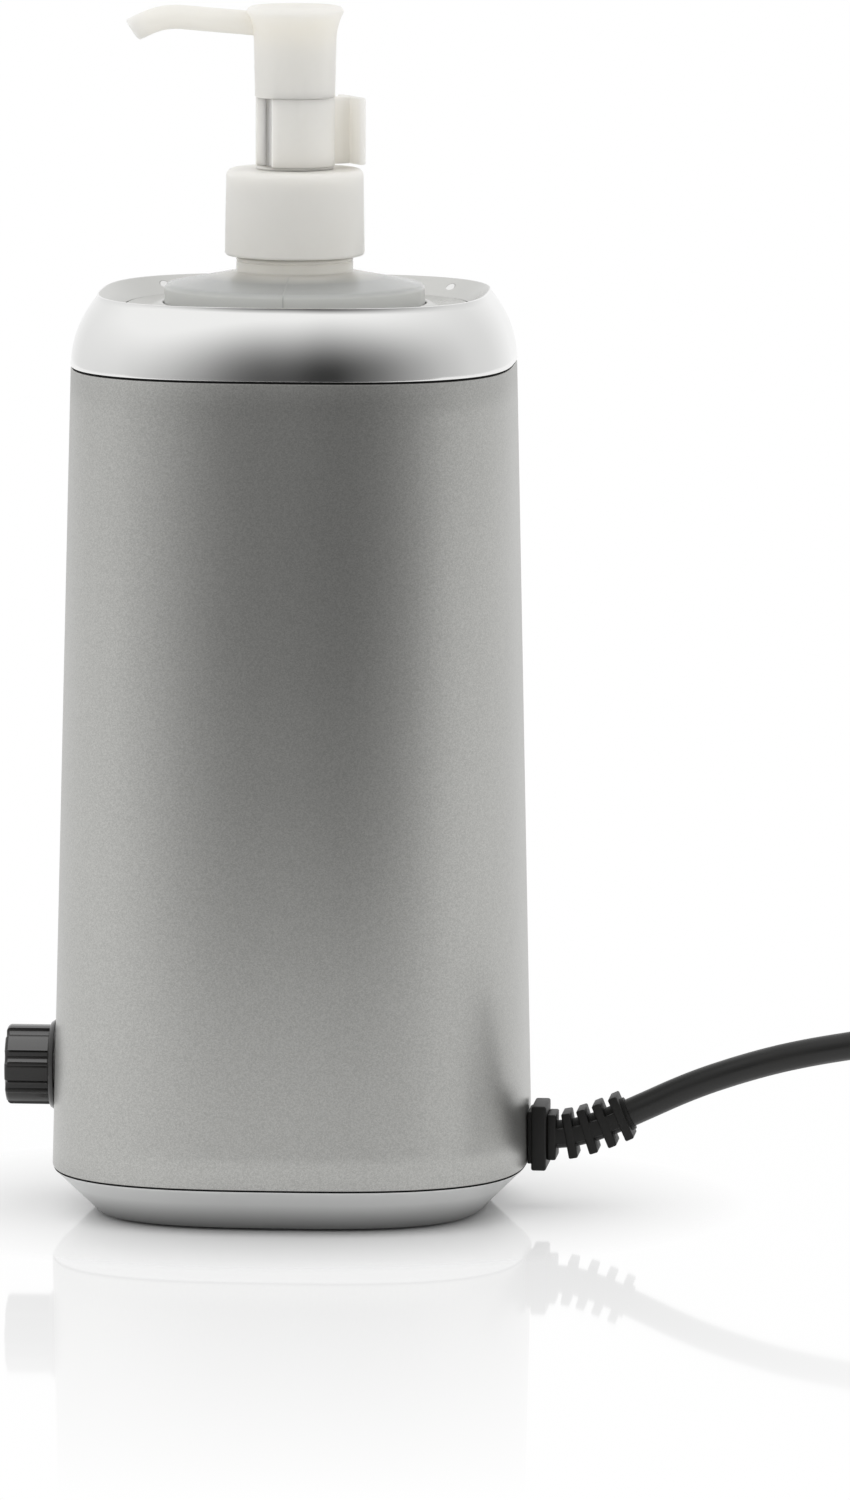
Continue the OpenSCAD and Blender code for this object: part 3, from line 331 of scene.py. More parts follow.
# The grain of a moulded or extruded surface: a fine height, and a slower drift of colour and gloss.
moulded_grain, grain_in, grain_out = new_group(
    "moulded_grain",
    [("Grain", 2500.0), ("Drift", 60.0), ("Smooth", 0.3), ("Rough", 0.5)]
    + [("Dark", (0.02, 0.02, 0.02, 1.0)), ("Light", (0.03, 0.03, 0.03, 1.0))],
    [("Color", "NodeSocketColor"), ("Roughness", "NodeSocketFloat"), ("Height", "NodeSocketFloat")],
)
spot = add(moulded_grain, "ShaderNodeTexCoord")
fine = add(moulded_grain, "ShaderNodeTexNoise", Detail=2.0)
slow = add(moulded_grain, "ShaderNodeTexNoise", Detail=4.0)
tint = blend(moulded_grain)
gloss = add(moulded_grain, "ShaderNodeMapRange", From_Min=0.3, From_Max=0.7)
link(
    moulded_grain,
    (spot, "Object", fine, "Vector"),
    (spot, "Object", slow, "Vector"),
    (grain_in, "Grain", fine, "Scale"),
    (grain_in, "Drift", slow, "Scale"),
    (slow, "Fac", tint, 0),
    (grain_in, "Dark", tint, 6),
    (grain_in, "Light", tint, 7),
    (slow, "Fac", gloss, "Value"),
    (grain_in, "Smooth", gloss, "To Min"),
    (grain_in, "Rough", gloss, "To Max"),
    (tint, 2, grain_out, "Color"),
    (gloss, "Result", grain_out, "Roughness"),
    (fine, "Fac", grain_out, "Height"),
)


def grained(name, dark, light, smooth, rough, grain=2500.0, drift=60.0, depth=0.00002, strength=0.3, **constants):
    """A finish whose colour, gloss and bump come from the moulded grain, with constants for its shader."""
    made, tree, skin = finish(name)
    group = tree.nodes.new("ShaderNodeGroup")
    group.name = "grain"
    group.node_tree = moulded_grain
    set_inputs(group, {"Grain": grain, "Drift": drift, "Smooth": smooth, "Rough": rough})
    set_inputs(group, {"Dark": (*dark, 1.0), "Light": (*light, 1.0)})
    bump = add(tree, "ShaderNodeBump", Strength=strength, Distance=depth)
    link(
        tree,
        (group, "Color", skin, "Base Color"),
        (group, "Roughness", skin, "Roughness"),
        (group, "Height", bump, "Height"),
        (bump, "Normal", skin, "Normal"),
    )
    set_inputs(skin, constants)
    return made


jacket_pvc = grained("jacket_pvc", (0.007, 0.007, 0.0065), (0.011, 0.0108, 0.010), 0.34, 0.46, grain=1800.0)
tree = jacket_pvc.node_tree
# The coil lies where the picture ends; in mirror rays its colour is painted paler, a painted reflection, so the
# casing shows it weaker than the cord's first stretch.
place = add(tree, "ShaderNodeTexCoord")
along = add(tree, "ShaderNodeSeparateXYZ")
put_away = add(tree, "ShaderNodeMapRange", From_Min=0.135, From_Max=0.165)
path = add(tree, "ShaderNodeLightPath")
mirrored = calc(tree, "MULTIPLY")
painted_reflection_tint = blend(tree, (0.55, 0.55, 0.55))
link(
    tree,
    (place, "Object", along, "Vector"),
    (along, "X", put_away, "Value"),
    (put_away, "Result", mirrored, 0),
    (path, "Is Glossy Ray", mirrored, 1),
    (mirrored, "Value", painted_reflection_tint, 0),
    (tree.nodes["grain"], "Color", painted_reflection_tint, 6),
    (painted_reflection_tint, 2, tree.nodes["Principled BSDF"], "Base Color"),
)
mains_cord.data.materials.append(jacket_pvc)

# Base pan: a moulded tray with a wide chamfer under the shell, painted a plain pale silver.
# It is closed from below with four screws and stands on a rubber ring in a groove.
squareness = 2.9


def square_radius(angle):
    """Distance from the axis to a rounded square of half-width 1."""
    c, s = abs(math.cos(angle)), abs(math.sin(angle))
    return 1 / (c**squareness + s**squareness) ** (1 / squareness)


def round_radius(angle):
    """The same for a plain circle."""
    return 1.0


def split(geom):
    """The vertices and the edges among what an operator made."""
    return [[g for g in geom if isinstance(g, kind)] for kind in (bmesh.types.BMVert, bmesh.types.BMEdge)]


def grown(bm, edges):
    """Extrudes edges where they are; the new vertices and the new edges."""
    return split(bmesh.ops.extrude_edge_only(bm, edges=edges)["geom"])


def stacked(bm, rings, outline=square_radius, segments=160, closed=False):
    """A wall through rings of (half-width, height); closed joins the last to the first. The end rings' edges."""
    half, height = rings[0]
    first = bmesh.ops.create_circle(bm, cap_ends=False, radius=1.0, segments=segments)["verts"]
    for v in first:
        r = half * outline(math.atan2(v.co.y, v.co.x))
        v.co = (v.co.x * r, v.co.y * r, height)
    first_edges = list({e for v in first for e in v.link_edges})
    edges = first_edges
    for next_half, next_height in rings[1:]:
        verts, edges = grown(bm, edges)
        k = next_half / half
        bmesh.ops.scale(bm, vec=(k, k, 1.0), verts=verts)
        bmesh.ops.translate(bm, vec=(0.0, 0.0, next_height - height), verts=verts)
        half, height = next_half, next_height
    if closed:
        bmesh.ops.bridge_loops(bm, edges=first_edges + edges)
    return first_edges, edges


def worked(bm, tool, operation="DIFFERENCE"):
    """The first mesh with the second cut out of it, or joined to it in one skin."""
    made = []
    for part in (bm, tool):
        bmesh.ops.recalc_face_normals(part, faces=part.faces)
        mesh = bpy.data.meshes.new("blank")
        part.to_mesh(mesh)
        part.free()
        made.append(bpy.data.objects.new("blank", mesh))
        scene.collection.objects.link(made[-1])
    blank, cutter = made
    cut = blank.modifiers.new("cut", "BOOLEAN")
    cut.operation = operation
    cut.solver = "EXACT"
    cut.object = cutter
    result = bmesh.new()
    result.from_object(blank, bpy.context.evaluated_depsgraph_get())
    for obj in made:
        bpy.data.objects.remove(obj)
    return result


def piece(bm, name, body, material, *stands_for, slot=None, sharp=32, more=()):
    """The mesh, drawn in millimetres, as a smooth-shaded object that rides on a body; more are further materials."""
    bmesh.ops.remove_doubles(bm, verts=bm.verts, dist=0.0005)
    bmesh.ops.recalc_face_normals(bm, faces=bm.faces)
    bmesh.ops.scale(bm, vec=(0.001, 0.001, 0.001), verts=bm.verts)
    mesh = bpy.data.meshes.new(name)
    bm.to_mesh(mesh)
    bm.free()
    mesh.shade_smooth()
    mesh.set_sharp_from_angle(angle=math.radians(sharp))
    for look in (material, *more):
        mesh.materials.append(look)
    obj = bpy.data.objects.new(name, mesh)
    scene.collection.objects.link(obj)
    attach(obj, body)
    if stands_for:
        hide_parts(*stands_for)
    return obj


def rod(bm, radius, length, matrix, segments=32):
    """A closed cylinder on the matrix's Z axis; its vertices."""
    return bmesh.ops.create_cone(
        bm, cap_ends=True, segments=segments, radius1=radius, radius2=radius, depth=length, matrix=matrix
    )["verts"]


def half_width(spot):
    """Half-width of the rounded square that a point lies on."""
    return spot.xy.length / square_radius(math.atan2(spot.y, spot.x))


base = bmesh.new()
outer, inner = stacked(
    base,
    [(46.5, 0.5), (56.0, 9.9), (56.5, 10.3), (56.7, 10.6), (55.9, 10.62), (55.9, 11.0), (54.25, 11.02)]
    + [(54.25, 16.0), (51.7, 16.0), (51.7, 10.6), (44.0, 3.0)],
)
bmesh.ops.edgeloop_fill(base, edges=inner)
groove, middle = stacked(base, [(42.1, 0.5), (42.1, 1.4), (36.9, 1.4), (36.9, 0.5)], outline=round_radius)
bmesh.ops.bridge_loops(base, edges=outer + groove)
bmesh.ops.edgeloop_fill(base, edges=middle)
holes = bmesh.new()
screw_at = 33
for x in (-screw_at, screw_at):
    for y in (-screw_at, screw_at):
        for r, top in ((3.15, 3.9), (1.8, 9.0)):
            rod(holes, r, top + 1, Matrix.Translation((x, y, (top - 1) / 2)))
base = worked(base, holes)
pale_paint = grained(
    "pale_paint", (0.70, 0.705, 0.70), (0.74, 0.745, 0.74), 0.34, 0.42,
    grain=3500.0, drift=25.0, depth=0.00001, strength=0.2, Metallic=0.65,
)
tree = pale_paint.node_tree
# Painted shade: the paint is darkened down the chamfer, towards the foot, where the table's contact shadow falls.
place = add(tree, "ShaderNodeTexCoord")
height = add(tree, "ShaderNodeSeparateXYZ")
shade_fall = add(tree, "ShaderNodeMapRange", From_Min=0.0005, From_Max=0.007, To_Min=0.36)
painted_foot_shade = blend(tree)
painted_foot_shade.blend_type = "MULTIPLY"
painted_foot_shade.inputs[0].default_value = 1.0
link(
    tree,
    (place, "Object", height, "Vector"),
    (height, "Z", shade_fall, "Value"),
    (tree.nodes["grain"], "Color", painted_foot_shade, 6),
    (shade_fall, "Result", painted_foot_shade, 7),
    (painted_foot_shade, 2, tree.nodes["Principled BSDF"], "Base Color"),
)
# A near-black finish for the steps in the seams: painted shade.
shadow_groove = grained("shadow_groove", (0.006, 0.006, 0.006), (0.01, 0.01, 0.01), 0.7, 0.85)
# The step under the shell is the shadow line, painted near black as painted shade.
for face in base.faces:
    spot = face.calc_center_median()
    face.material_index = int(half_width(spot) < 56.6 and spot.z > 10.5)
piece(base, "base_tray", "warmer", pale_paint, "base_pan", slot="casing_pale", more=[shadow_groove])

# Foot: a flat ring of black rubber, pressed into the groove under the base pan.
# Its lower edges are bevelled, and the base screws lie outside it.
foot = bmesh.new()
stacked(
    foot,
    [(41.6, 0.0), (42.0, 0.3), (42.0, 1.3), (37.0, 1.3), (37.0, 0.3), (37.4, 0.0)],
    outline=round_radius, segments=128, closed=True,
)
soft_rubber = grained("soft_rubber", (0.012, 0.012, 0.012), (0.02, 0.02, 0.019), 0.55, 0.75, grain=1500.0)
piece(foot, "rubber_foot", "warmer", soft_rubber, "foot_ring", slot="black_rubber")

# Base screws: four zinc-plated pan-head screws with cross recesses, let into the base pan.
# The solids stay in view and have a plated finish with a fine grain.
zinc_plate = grained("zinc_plate", (0.42, 0.42, 0.41), (0.55, 0.55, 0.53), 0.25, 0.4, grain=4000.0, Metallic=1.0)


def dress(material, *nodes):
    """Gives solids that stay in view their finish."""
    for node in nodes:
        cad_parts[node].data.materials.clear()
        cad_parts[node].data.materials.append(material)


dress(zinc_plate, "base_screws")

# Shell: a tall moulded sleeve, wider at its foot, sprayed with a satin silver paint full of fine flakes.
# It sits on the base pan with a shadow line; the knob's bush and the cord's strain relief go through it.
shell = bmesh.new()
foot_z, top_z, foot_half, top_half = 11.0, 203.0, 57.0, 52.8
wall, wall_steps, edge_r, edge_mid = 2.5, 24, 0.35, 0.1
control_z, gland_z = 32.6, 17.3
wall_rings = [
    (foot_half + (top_half - foot_half) * i / wall_steps, foot_z + (top_z - foot_z) * i / wall_steps)
    for i in range(wall_steps + 1)
]
stacked(
    shell,
    [(foot_half - edge_r, foot_z), (foot_half - edge_mid, foot_z + edge_mid), (foot_half, foot_z + edge_r)]
    + wall_rings[1:-1]
    + [(top_half, top_z - edge_r), (top_half - edge_mid, top_z - edge_mid), (top_half - edge_r, top_z)]
    + [(half - wall, z) for half, z in reversed(wall_rings)],
    closed=True,
)
holes = bmesh.new()
along_x = Matrix.Rotation(math.pi / 2, 4, "Y")
rod(holes, 3.8, 8, Matrix.Translation((-56, 0, control_z)) @ along_x, segments=48)
bmesh.ops.create_cube(holes, size=8.2, matrix=Matrix.Translation((56, 0, gland_z)))
shell = worked(shell, holes)
flake_paint, tree, skin = finish("flake_paint")
spot = add(tree, "ShaderNodeTexCoord")
flakes = add(tree, "ShaderNodeTexVoronoi", Scale=4200.0)
sheen_drift = add(tree, "ShaderNodeTexNoise", Scale=9.0, Detail=3.0)
flake_tint = add(tree, "ShaderNodeMapRange", To_Min=0.43, To_Max=0.56)
silver = add(tree, "ShaderNodeCombineColor")
warm = calc(tree, "MULTIPLY", 0.965)
gloss = add(tree, "ShaderNodeMapRange", From_Min=0.3, From_Max=0.7, To_Min=0.30, To_Max=0.34)
bump = add(tree, "ShaderNodeBump", Strength=0.25, Distance=0.00002)
tone = add(tree, "ShaderNodeSeparateColor")
round_axis = add(tree, "ShaderNodeTangent")
round_axis.direction_type = "RADIAL"
round_axis.axis = "Z"
link(
    tree,
    (spot, "Object", flakes, "Vector"),
    (spot, "Object", sheen_drift, "Vector"),
    (flakes, "Color", tone, "Color"),
    (tone, "Red", flake_tint, "Value"),
    (flake_tint, "Result", silver, "Red"),
    (flake_tint, "Result", silver, "Green"),
    (flake_tint, "Result", warm, 0),
    (warm, "Value", silver, "Blue"),
    (silver, "Color", skin, "Base Color"),
    (sheen_drift, "Fac", gloss, "Value"),
    (gloss, "Result", skin, "Roughness"),
    (tone, "Green", bump, "Height"),
    (bump, "Normal", skin, "Normal"),
    (round_axis, "Tangent", skin, "Tangent"),
)
set_inputs(skin, {"Metallic": 0.92, "Anisotropic": 0.6})
piece(shell, "casing_shell", "warmer", flake_paint, "shell", slot="casing_paint")

# Well stand: a moulded ring on four legs that holds the cup and its insulation over the base pan.
# It is a dark plastic that stands heat, and the casing hides it.
stand_plastic = grained("stand_plastic", (0.02, 0.022, 0.024), (0.03, 0.032, 0.034), 0.45, 0.6)
dress(stand_plastic, "well_stand")

# Well: a spun aluminium cup with a flange under the dish plate, and a silicone pad on its floor.
# The spinning leaves fine rings in the metal.


def turned(bm, profile, steps=128, segments=4):
    """A closed profile of (radius, height, rounding) spun about the Z axis."""
    verts = [bm.verts.new((r, 0.0, z)) for r, z, _ in profile]
    edges = [bm.edges.new(pair) for pair in zip(verts, verts[1:] + verts[:1])]
    for v, (_, _, rounding) in zip(verts, profile):
        if rounding:
            bmesh.ops.bevel(
                bm, geom=[v], offset=rounding, affect="VERTICES", segments=segments, profile=0.5, material=-1
            )
    bmesh.ops.spin(
        bm, geom=bm.verts[:] + bm.edges[:], cent=(0, 0, 0), axis=(0, 0, 1), angle=2 * math.pi, steps=steps,
        use_merge=True,
    )
    bmesh.ops.remove_doubles(bm, verts=bm.verts, dist=0.0005)
    return bm


cup = turned(
    bmesh.new(),
    [(0, 44, 0), (32.9, 44, 1.0), (32.9, 212.95, 0), (36.9, 212.95, 0.2), (36.9, 214.1, 0.2), (31.7, 214.1, 0.5)]
    + [(31.7, 45.5, 2.0), (0, 45.5, 0)],
)
spun_metal, tree, skin = finish("spun_metal")
spot = add(tree, "ShaderNodeTexCoord")
rings = add(tree, "ShaderNodeTexWave", Scale=260.0, Distortion=1.2, Detail=2.0)
rings.bands_direction = "Z"
tint = add(tree, "ShaderNodeMapRange", To_Min=0.62, To_Max=0.72)
metal = add(tree, "ShaderNodeCombineColor")
bump = add(tree, "ShaderNodeBump", Strength=0.2, Distance=0.00003)
link(
    tree,
    (spot, "Object", rings, "Vector"),
    (rings, "Fac", tint, "Value"),
    (tint, "Result", metal, "Red"),
    (tint, "Result", metal, "Green"),
    (tint, "Result", metal, "Blue"),
    (metal, "Color", skin, "Base Color"),
    (rings, "Fac", bump, "Height"),
    (bump, "Normal", skin, "Normal"),
)
set_inputs(skin, {"Metallic": 1.0, "Roughness": 0.35})
piece(cup, "heated_cup", "warmer", spun_metal, "well_cup", slot="cup_aluminium")
pad = turned(bmesh.new(), [(0, 45.5, 0), (30.7, 45.5, 0.3), (30.7, 46.9, 0.5), (0, 46.9, 0)])
silicone = grained("silicone", (0.05, 0.05, 0.048), (0.065, 0.064, 0.06), 0.5, 0.65, grain=900.0)
piece(pad, "silicone_pad", "warmer", silicone, "well_pad", slot="black_rubber")

# Insulation: a sleeve of glass felt round the cup, which keeps its heat from the casing.
# The felt is yellowish, matt and coarse.
glass_felt = grained(
    "glass_felt", (0.55, 0.50, 0.38), (0.68, 0.63, 0.50), 0.85, 0.95,
    grain=420.0, drift=120.0, depth=0.0006, strength=0.8,
)
dress(glass_felt, "insulation_sleeve")

# Heater and thermostat: an aluminium heater disc pressed to the cup's underside, with the thermostat on it.
# The thermostat's case is brown bakelite.
heater_metal = grained("heater_metal", (0.36, 0.36, 0.36), (0.46, 0.46, 0.45), 0.4, 0.55, Metallic=1.0)
bakelite = grained("bakelite", (0.09, 0.045, 0.022), (0.12, 0.06, 0.03), 0.4, 0.55)
dress(heater_metal, "heater_disc")
dress(bakelite, "thermostat")

# Control: a circuit board in slotted posts carries the rotary control, whose bush is nutted to the shell.
# The terminal block on the base pan takes the cord's cores and the leads to heater and board.
board_lacquer = grained("board_lacquer", (0.012, 0.07, 0.03), (0.02, 0.1, 0.045), 0.25, 0.4, grain=900.0)
control_case = grained("control_case", (0.10, 0.105, 0.11), (0.13, 0.135, 0.14), 0.35, 0.5, Metallic=0.5)
terminal_nylon = grained("terminal_nylon", (0.66, 0.64, 0.55), (0.74, 0.72, 0.63), 0.4, 0.55)
dress(board_lacquer, "control_board")
dress(control_case, "rotary_control")
dress(zinc_plate, "control_nut", "control_shaft")
dress(terminal_nylon, "terminal_block")

# Lead wires: single cores in red sleeves between strain relief, block, thermostat, heater and board.
# They hang in soft bends from one terminal to the next.
mm = 0.001
lead_routes = [
    [(49.5, 2.6 * k, gland_z), (47.5, 3.5 * k, 16.3), (45, 7 * k, 10), (42, 8 * k, 8)] for k in (-1, 0, 1)
]
lead_routes += [
    [(26, 8, 8), (20, 8, 10), (10, 6, 22.2), (3.15, 4, 28.2)],
    [(26, -8, 8), (21, -9, 11), (18.36, -11, 23), (18.36, -8, 33.2), (18.36, -3.15, 36.2)],
    [(-3.15, -4, 28.2), (-10, -6, 29.2), (-17.36, -9, 32.2), (-18.36, -3.15, 36.2)],
]
lead_routes += [[(26, 3 * k, 8), (18, 3 * k, 8), (-20, 9 * k, 8), (-43.1, 10 * k, 14)] for k in (-1, 1)]
leads = cable("leads", [[Vector(spot) * mm for spot in route] for route in lead_routes], 1.0 * mm, 8, 3)
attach(leads, "warmer")
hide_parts("lead_wires")
sleeve_red = grained("sleeve_red", (0.24, 0.012, 0.008), (0.3, 0.02, 0.012), 0.35, 0.5)
leads.data.materials.append(sleeve_red)

# Collar: a bulging moulded rim with a glossy silver finish, pushed into the shell over a shadow line.
# Its inner wall slopes down into a shallow dish round the bottle.


def arc(cx, cy, r, start, end, steps):
    """Points of an arc in section, from one angle to another in degrees."""
    span = [math.radians(start + (end - start) * i / steps) for i in range(steps + 1)]
    return [(cx + r * math.cos(a), cy + r * math.sin(a)) for a in span]


collar = bmesh.new()
stacked(
    collar,
    [(52.55, 203.4), (52.75, 203.5)]
    + arc(27.3, 203.0, 25.5, 1.8, 40.6, 20)
    + arc(46.25, 219.9, 0.5, 55, 150, 5)
    + [(42.05, 216.6), (41.8, 216.3), (41.8, 214.2), (38.8, 214.2), (38.8, 212.2)]
    + arc(27.3, 203.0, 23.0, 23.6, 12, 4)
    + [(47.55, 203.0), (47.55, 198.0), (50.05, 198.0), (50.05, 203.0), (51.8, 203.0), (51.8, 203.4)],
    closed=True,
)
bright_silver = grained(
    "bright_silver", (0.84, 0.84, 0.83), (0.86, 0.86, 0.85), 0.11, 0.14,
    grain=5000.0, drift=15.0, depth=0.000004, strength=0.1, Metallic=1.0,
)
satin_silver = grained(
    "satin_silver", (0.62, 0.62, 0.60), (0.66, 0.66, 0.64), 0.26, 0.34,
    grain=5000.0, drift=20.0, depth=0.00001, strength=0.2, Metallic=0.9,
)
# The rim is bright as far as its crest and satin inside; what is under its lower edge is the shadow line, painted
# near black as painted shade.
for face in collar.faces:
    spot = face.calc_center_median()
    half = half_width(spot)
    if spot.z < 203.48 and half < 52.6:
        face.material_index = 2
    elif half < 46.2:
        face.material_index = 1
piece(
    collar, "collar_rim", "warmer", bright_silver, "collar",
    slot="collar_gloss", sharp=36, more=[satin_silver, shadow_groove],
)

# Dish plate: the floor of the dish, laid on the collar's shelf, with a raised lip round the well's mouth.
# It is moulded, and has the satin finish of the dish's wall.
plate = bmesh.new()
plate_outer, plate_lower = stacked(plate, [(41.3, 216.4), (41.5, 216.25), (41.5, 214.2)])
mouth, mouth_lower = stacked(
    plate,
    [(35.1, 216.4), (34.9, 216.48), (32.7, 217.65), (32.4, 217.8), (31.8, 217.75), (31.55, 217.5), (31.55, 214.2)],
    outline=round_radius,
)
bmesh.ops.bridge_loops(plate, edges=plate_outer + mouth)
bmesh.ops.bridge_loops(plate, edges=plate_lower + mouth_lower)
piece(plate, "dish_floor", "warmer", satin_silver, "dish_plate", slot="dish_satin")

# Screw caps: four small discs that close the screw holes in the dish wall, one at each corner.
# They are as bright as the collar, and each has a dull grey ring round it: painted shade for the gap round the cap.


def softened(obj, width, segments=3, angle=40):
    """Rounds the piece's sharp edges, as a mould leaves them; width in millimetres."""
    edge = obj.modifiers.new("soft_edges", "BEVEL")
    edge.width = width * 0.001
    edge.segments = segments
    edge.limit_method = "ANGLE"
    edge.angle_limit = math.radians(angle)
    edge.harden_normals = True


caps = bmesh.new()
cap_r, shade_ring_r = 1.35, 1.65
for corner in (45, 135, 225, 315):
    on_wall = (
        Matrix.Rotation(math.radians(corner), 4, "Z")
        @ Matrix.Translation((48.85, 0, 218.2))
        @ Matrix.Rotation(math.radians(-45), 4, "Y")
        @ Matrix.Translation((0, 0, -0.9))
    )
    # The wider disc under each cap shows as a grey ring: painted shade.
    for face in {f for v in rod(caps, shade_ring_r, 2.0, on_wall) for f in v.link_faces}:
        face.material_index = 1
    rod(caps, cap_r, 2.1, on_wall)
wall_caps = piece(
    caps, "wall_caps", "warmer", bright_silver, "screw_caps", slot="collar_gloss", more=[zinc_plate]
)
softened(wall_caps, 0.12)

# Knob: a fluted knob of glossy black plastic with a thin flange, pushed on the control's shaft.
# A pointer line is let into its end.
knob_r, flute_r, flute_at, flute_step, flute_turn, flute_soft = 9.6, 1.9, 10.3, 45, 17.5, 0.25


def fluted_radius(angle):
    """Radius of the fluted grip for a lobe radius of 1, with soft edges where flutes meet lobes."""
    off = (math.degrees(angle) - flute_turn + flute_step / 2) % flute_step - flute_step / 2
    side = flute_at * math.sin(math.radians(off))
    r = knob_r
    if abs(side) < flute_r:
        r = flute_at * math.cos(math.radians(off)) - math.sqrt(flute_r**2 - side**2)
    h = max(0.0, flute_soft - abs(r - knob_r)) / flute_soft
    return (min(r, knob_r) - h * h * flute_soft / 4) / knob_r


knob = bmesh.new()
_, top_end = stacked(
    knob,
    [(knob_r, 1.25), (knob_r, 11.0), (knob_r - 0.12, 11.4), (knob_r - 0.4, 11.75), (knob_r - 0.8, 11.9)]
    + [(knob_r - 1.6, 11.9), (knob_r - 1.8, 11.75), (0.5, 11.75)],
    outline=fluted_radius, segments=360,
)
bmesh.ops.edgeloop_fill(knob, edges=top_end)
stacked(
    knob,
    [(9.0, 1.6), (10.1, 1.35), (10.3, 1.25), (10.95, 0.3), (11.05, 0.15), (10.95, 0.0), (6.4, 0.0), (6.4, 2.2)]
    + [(3.05, 2.2), (3.05, 6.0)],
    outline=round_radius, segments=120,
)
bmesh.ops.transform(
    knob,
    matrix=Matrix.Translation((-57.11, 0, control_z)) @ Matrix.Rotation(-math.pi / 2, 4, "Y"),
    verts=knob.verts,
)
black_satin = grained(
    "black_satin", (0.006, 0.0055, 0.005), (0.009, 0.0082, 0.0075), 0.10, 0.15,
    grain=3000.0, depth=0.00001, strength=0.15,
)
fluted_knob = piece(knob, "fluted_knob", "knob_unit", black_satin, "knob", slot="black_plastic", sharp=40)
black_gloss.objects.link(fluted_knob)
pointer = bmesh.new()
bmesh.ops.create_cube(pointer, size=1.0)
bmesh.ops.scale(pointer, vec=(0.1, 0.7, 4.6), verts=pointer.verts)
bmesh.ops.bevel(pointer, geom=pointer.edges[:], offset=0.04, affect="EDGES", segments=1, profile=0.5, material=-1)
bmesh.ops.translate(pointer, vec=(-68.86, 0, 4.4), verts=pointer.verts)
bmesh.ops.rotate(pointer, cent=(0, 0, 0), matrix=Matrix.Rotation(math.radians(5), 3, "X"), verts=pointer.verts)
bmesh.ops.translate(pointer, vec=(0, 0, control_z), verts=pointer.verts)
mark_paint = grained("mark_paint", (0.6, 0.6, 0.58), (0.68, 0.68, 0.66), 0.45, 0.55)
piece(pointer, "knob_pointer", "knob_unit", mark_paint, slot="pump_plastic")

# Strain relief: black rubber moulded on the cord, with a square flange, five square ribs and webs between them.
# It bends upwards with the cord.
rib_count, rib_pitch, relief_bend = 5, 4.37, 24


def rubber_block(bm, size, matrix, rounding):
    """A block with rounded edges, placed by the matrix."""
    made = bmesh.ops.create_cube(bm, size=1.0)["verts"]
    bmesh.ops.scale(bm, vec=size, verts=made)
    edges = list({e for v in made for e in v.link_edges})
    rounded = bmesh.ops.bevel(
        bm, geom=edges, offset=rounding, affect="EDGES", segments=3, profile=0.5, material=-1
    )["verts"]
    bmesh.ops.transform(bm, matrix=matrix, verts=rounded)


relief = bmesh.new()
for x0, x1, width, rounding in (
    (49.5, 51.5, 11.0, 0.4),
    (50.5, 59.0, 8.0, 0.3),
    (57.05, 59.0, 12.6, 0.3),
    (58.05, 61.65, 15.6, 0.55),
):
    rubber_block(relief, (x1 - x0, width, width), Matrix.Translation(((x0 + x1) / 2, 0, gland_z)), rounding)
last_rib = rib_count - 1
rib_tilt = [relief_bend * (1 - (1 - k / last_rib) ** 2) for k in range(rib_count)]
rib_at = Vector((62.754, 0, gland_z))
for k, tilt in enumerate(rib_tilt):
    lean = Matrix.Translation(rib_at) @ Matrix.Rotation(math.radians(-tilt), 4, "Y")
    rubber_block(relief, (2.2, 11.0, 11.0), lean, 0.4)
    if k == last_rib:
        rod(relief, 4.1, 2.0, lean @ along_x @ Matrix.Translation((0, 0, 1.0)))
        break
    step_tilt = math.radians((tilt + rib_tilt[k + 1]) / 2)
    step = Vector((math.cos(step_tilt), 0, math.sin(step_tilt))) * rib_pitch
    lean = Matrix.Translation(rib_at + step / 2) @ Matrix.Rotation(-step_tilt, 4, "Y")
    rod(relief, 3.4, rib_pitch, lean @ along_x)
    for side in (-1, 1):
        rubber_block(relief, (rib_pitch, 1.9, 3.8), lean @ Matrix.Translation((0, side * 4.4, 0)), 0.25)
    rib_at = rib_at + step
relief_rubber = grained(
    "relief_rubber", (0.006, 0.006, 0.0055), (0.010, 0.0096, 0.009), 0.42, 0.56,
    grain=1200.0, depth=0.00004, Specular_IOR_Level=0.34,
)
piece(relief, "cord_relief", "warmer", relief_rubber, "strain_relief", slot="black_rubber")

# Coil strap: a hook-and-loop strap round both layers of the coil.
# It is black woven nylon, fuzzy and matt.
strap = bmesh.new()
strap_width, strap_thick, strap_bend = 9.0, 0.5, 2.5
corners = [(22.9, 0.3), (51.9, 0.3), (51.9, 15.55), (22.9, 15.55)]
verts = [strap.verts.new((x, -strap_width / 2, z)) for x, z in corners]
for pair in zip(verts, verts[1:] + verts[:1]):
    strap.edges.new(pair)
bmesh.ops.bevel(strap, geom=verts, offset=strap_bend, affect="VERTICES", segments=5, profile=0.5, material=-1)
far_side, _ = grown(strap, strap.edges[:])
bmesh.ops.translate(strap, vec=(0, strap_width, 0), verts=far_side)
bmesh.ops.recalc_face_normals(strap, faces=strap.faces)
bmesh.ops.solidify(strap, geom=strap.faces[:], thickness=strap_thick)
on_coil = Matrix.Translation((coil_x / mm, coil_y / mm, 0)) @ Matrix.Rotation(math.radians(300), 4, "Z")
bmesh.ops.transform(strap, matrix=on_coil, verts=strap.verts)
strap_cloth = grained(
    "strap_cloth", (0.012, 0.012, 0.013), (0.03, 0.03, 0.032), 0.75, 0.9,
    grain=1400.0, drift=500.0, depth=0.0002, strength=0.7,
)
coil_strap = piece(strap, "coil_strap", "warmer", strap_cloth, "coil_tie", slot="tie")

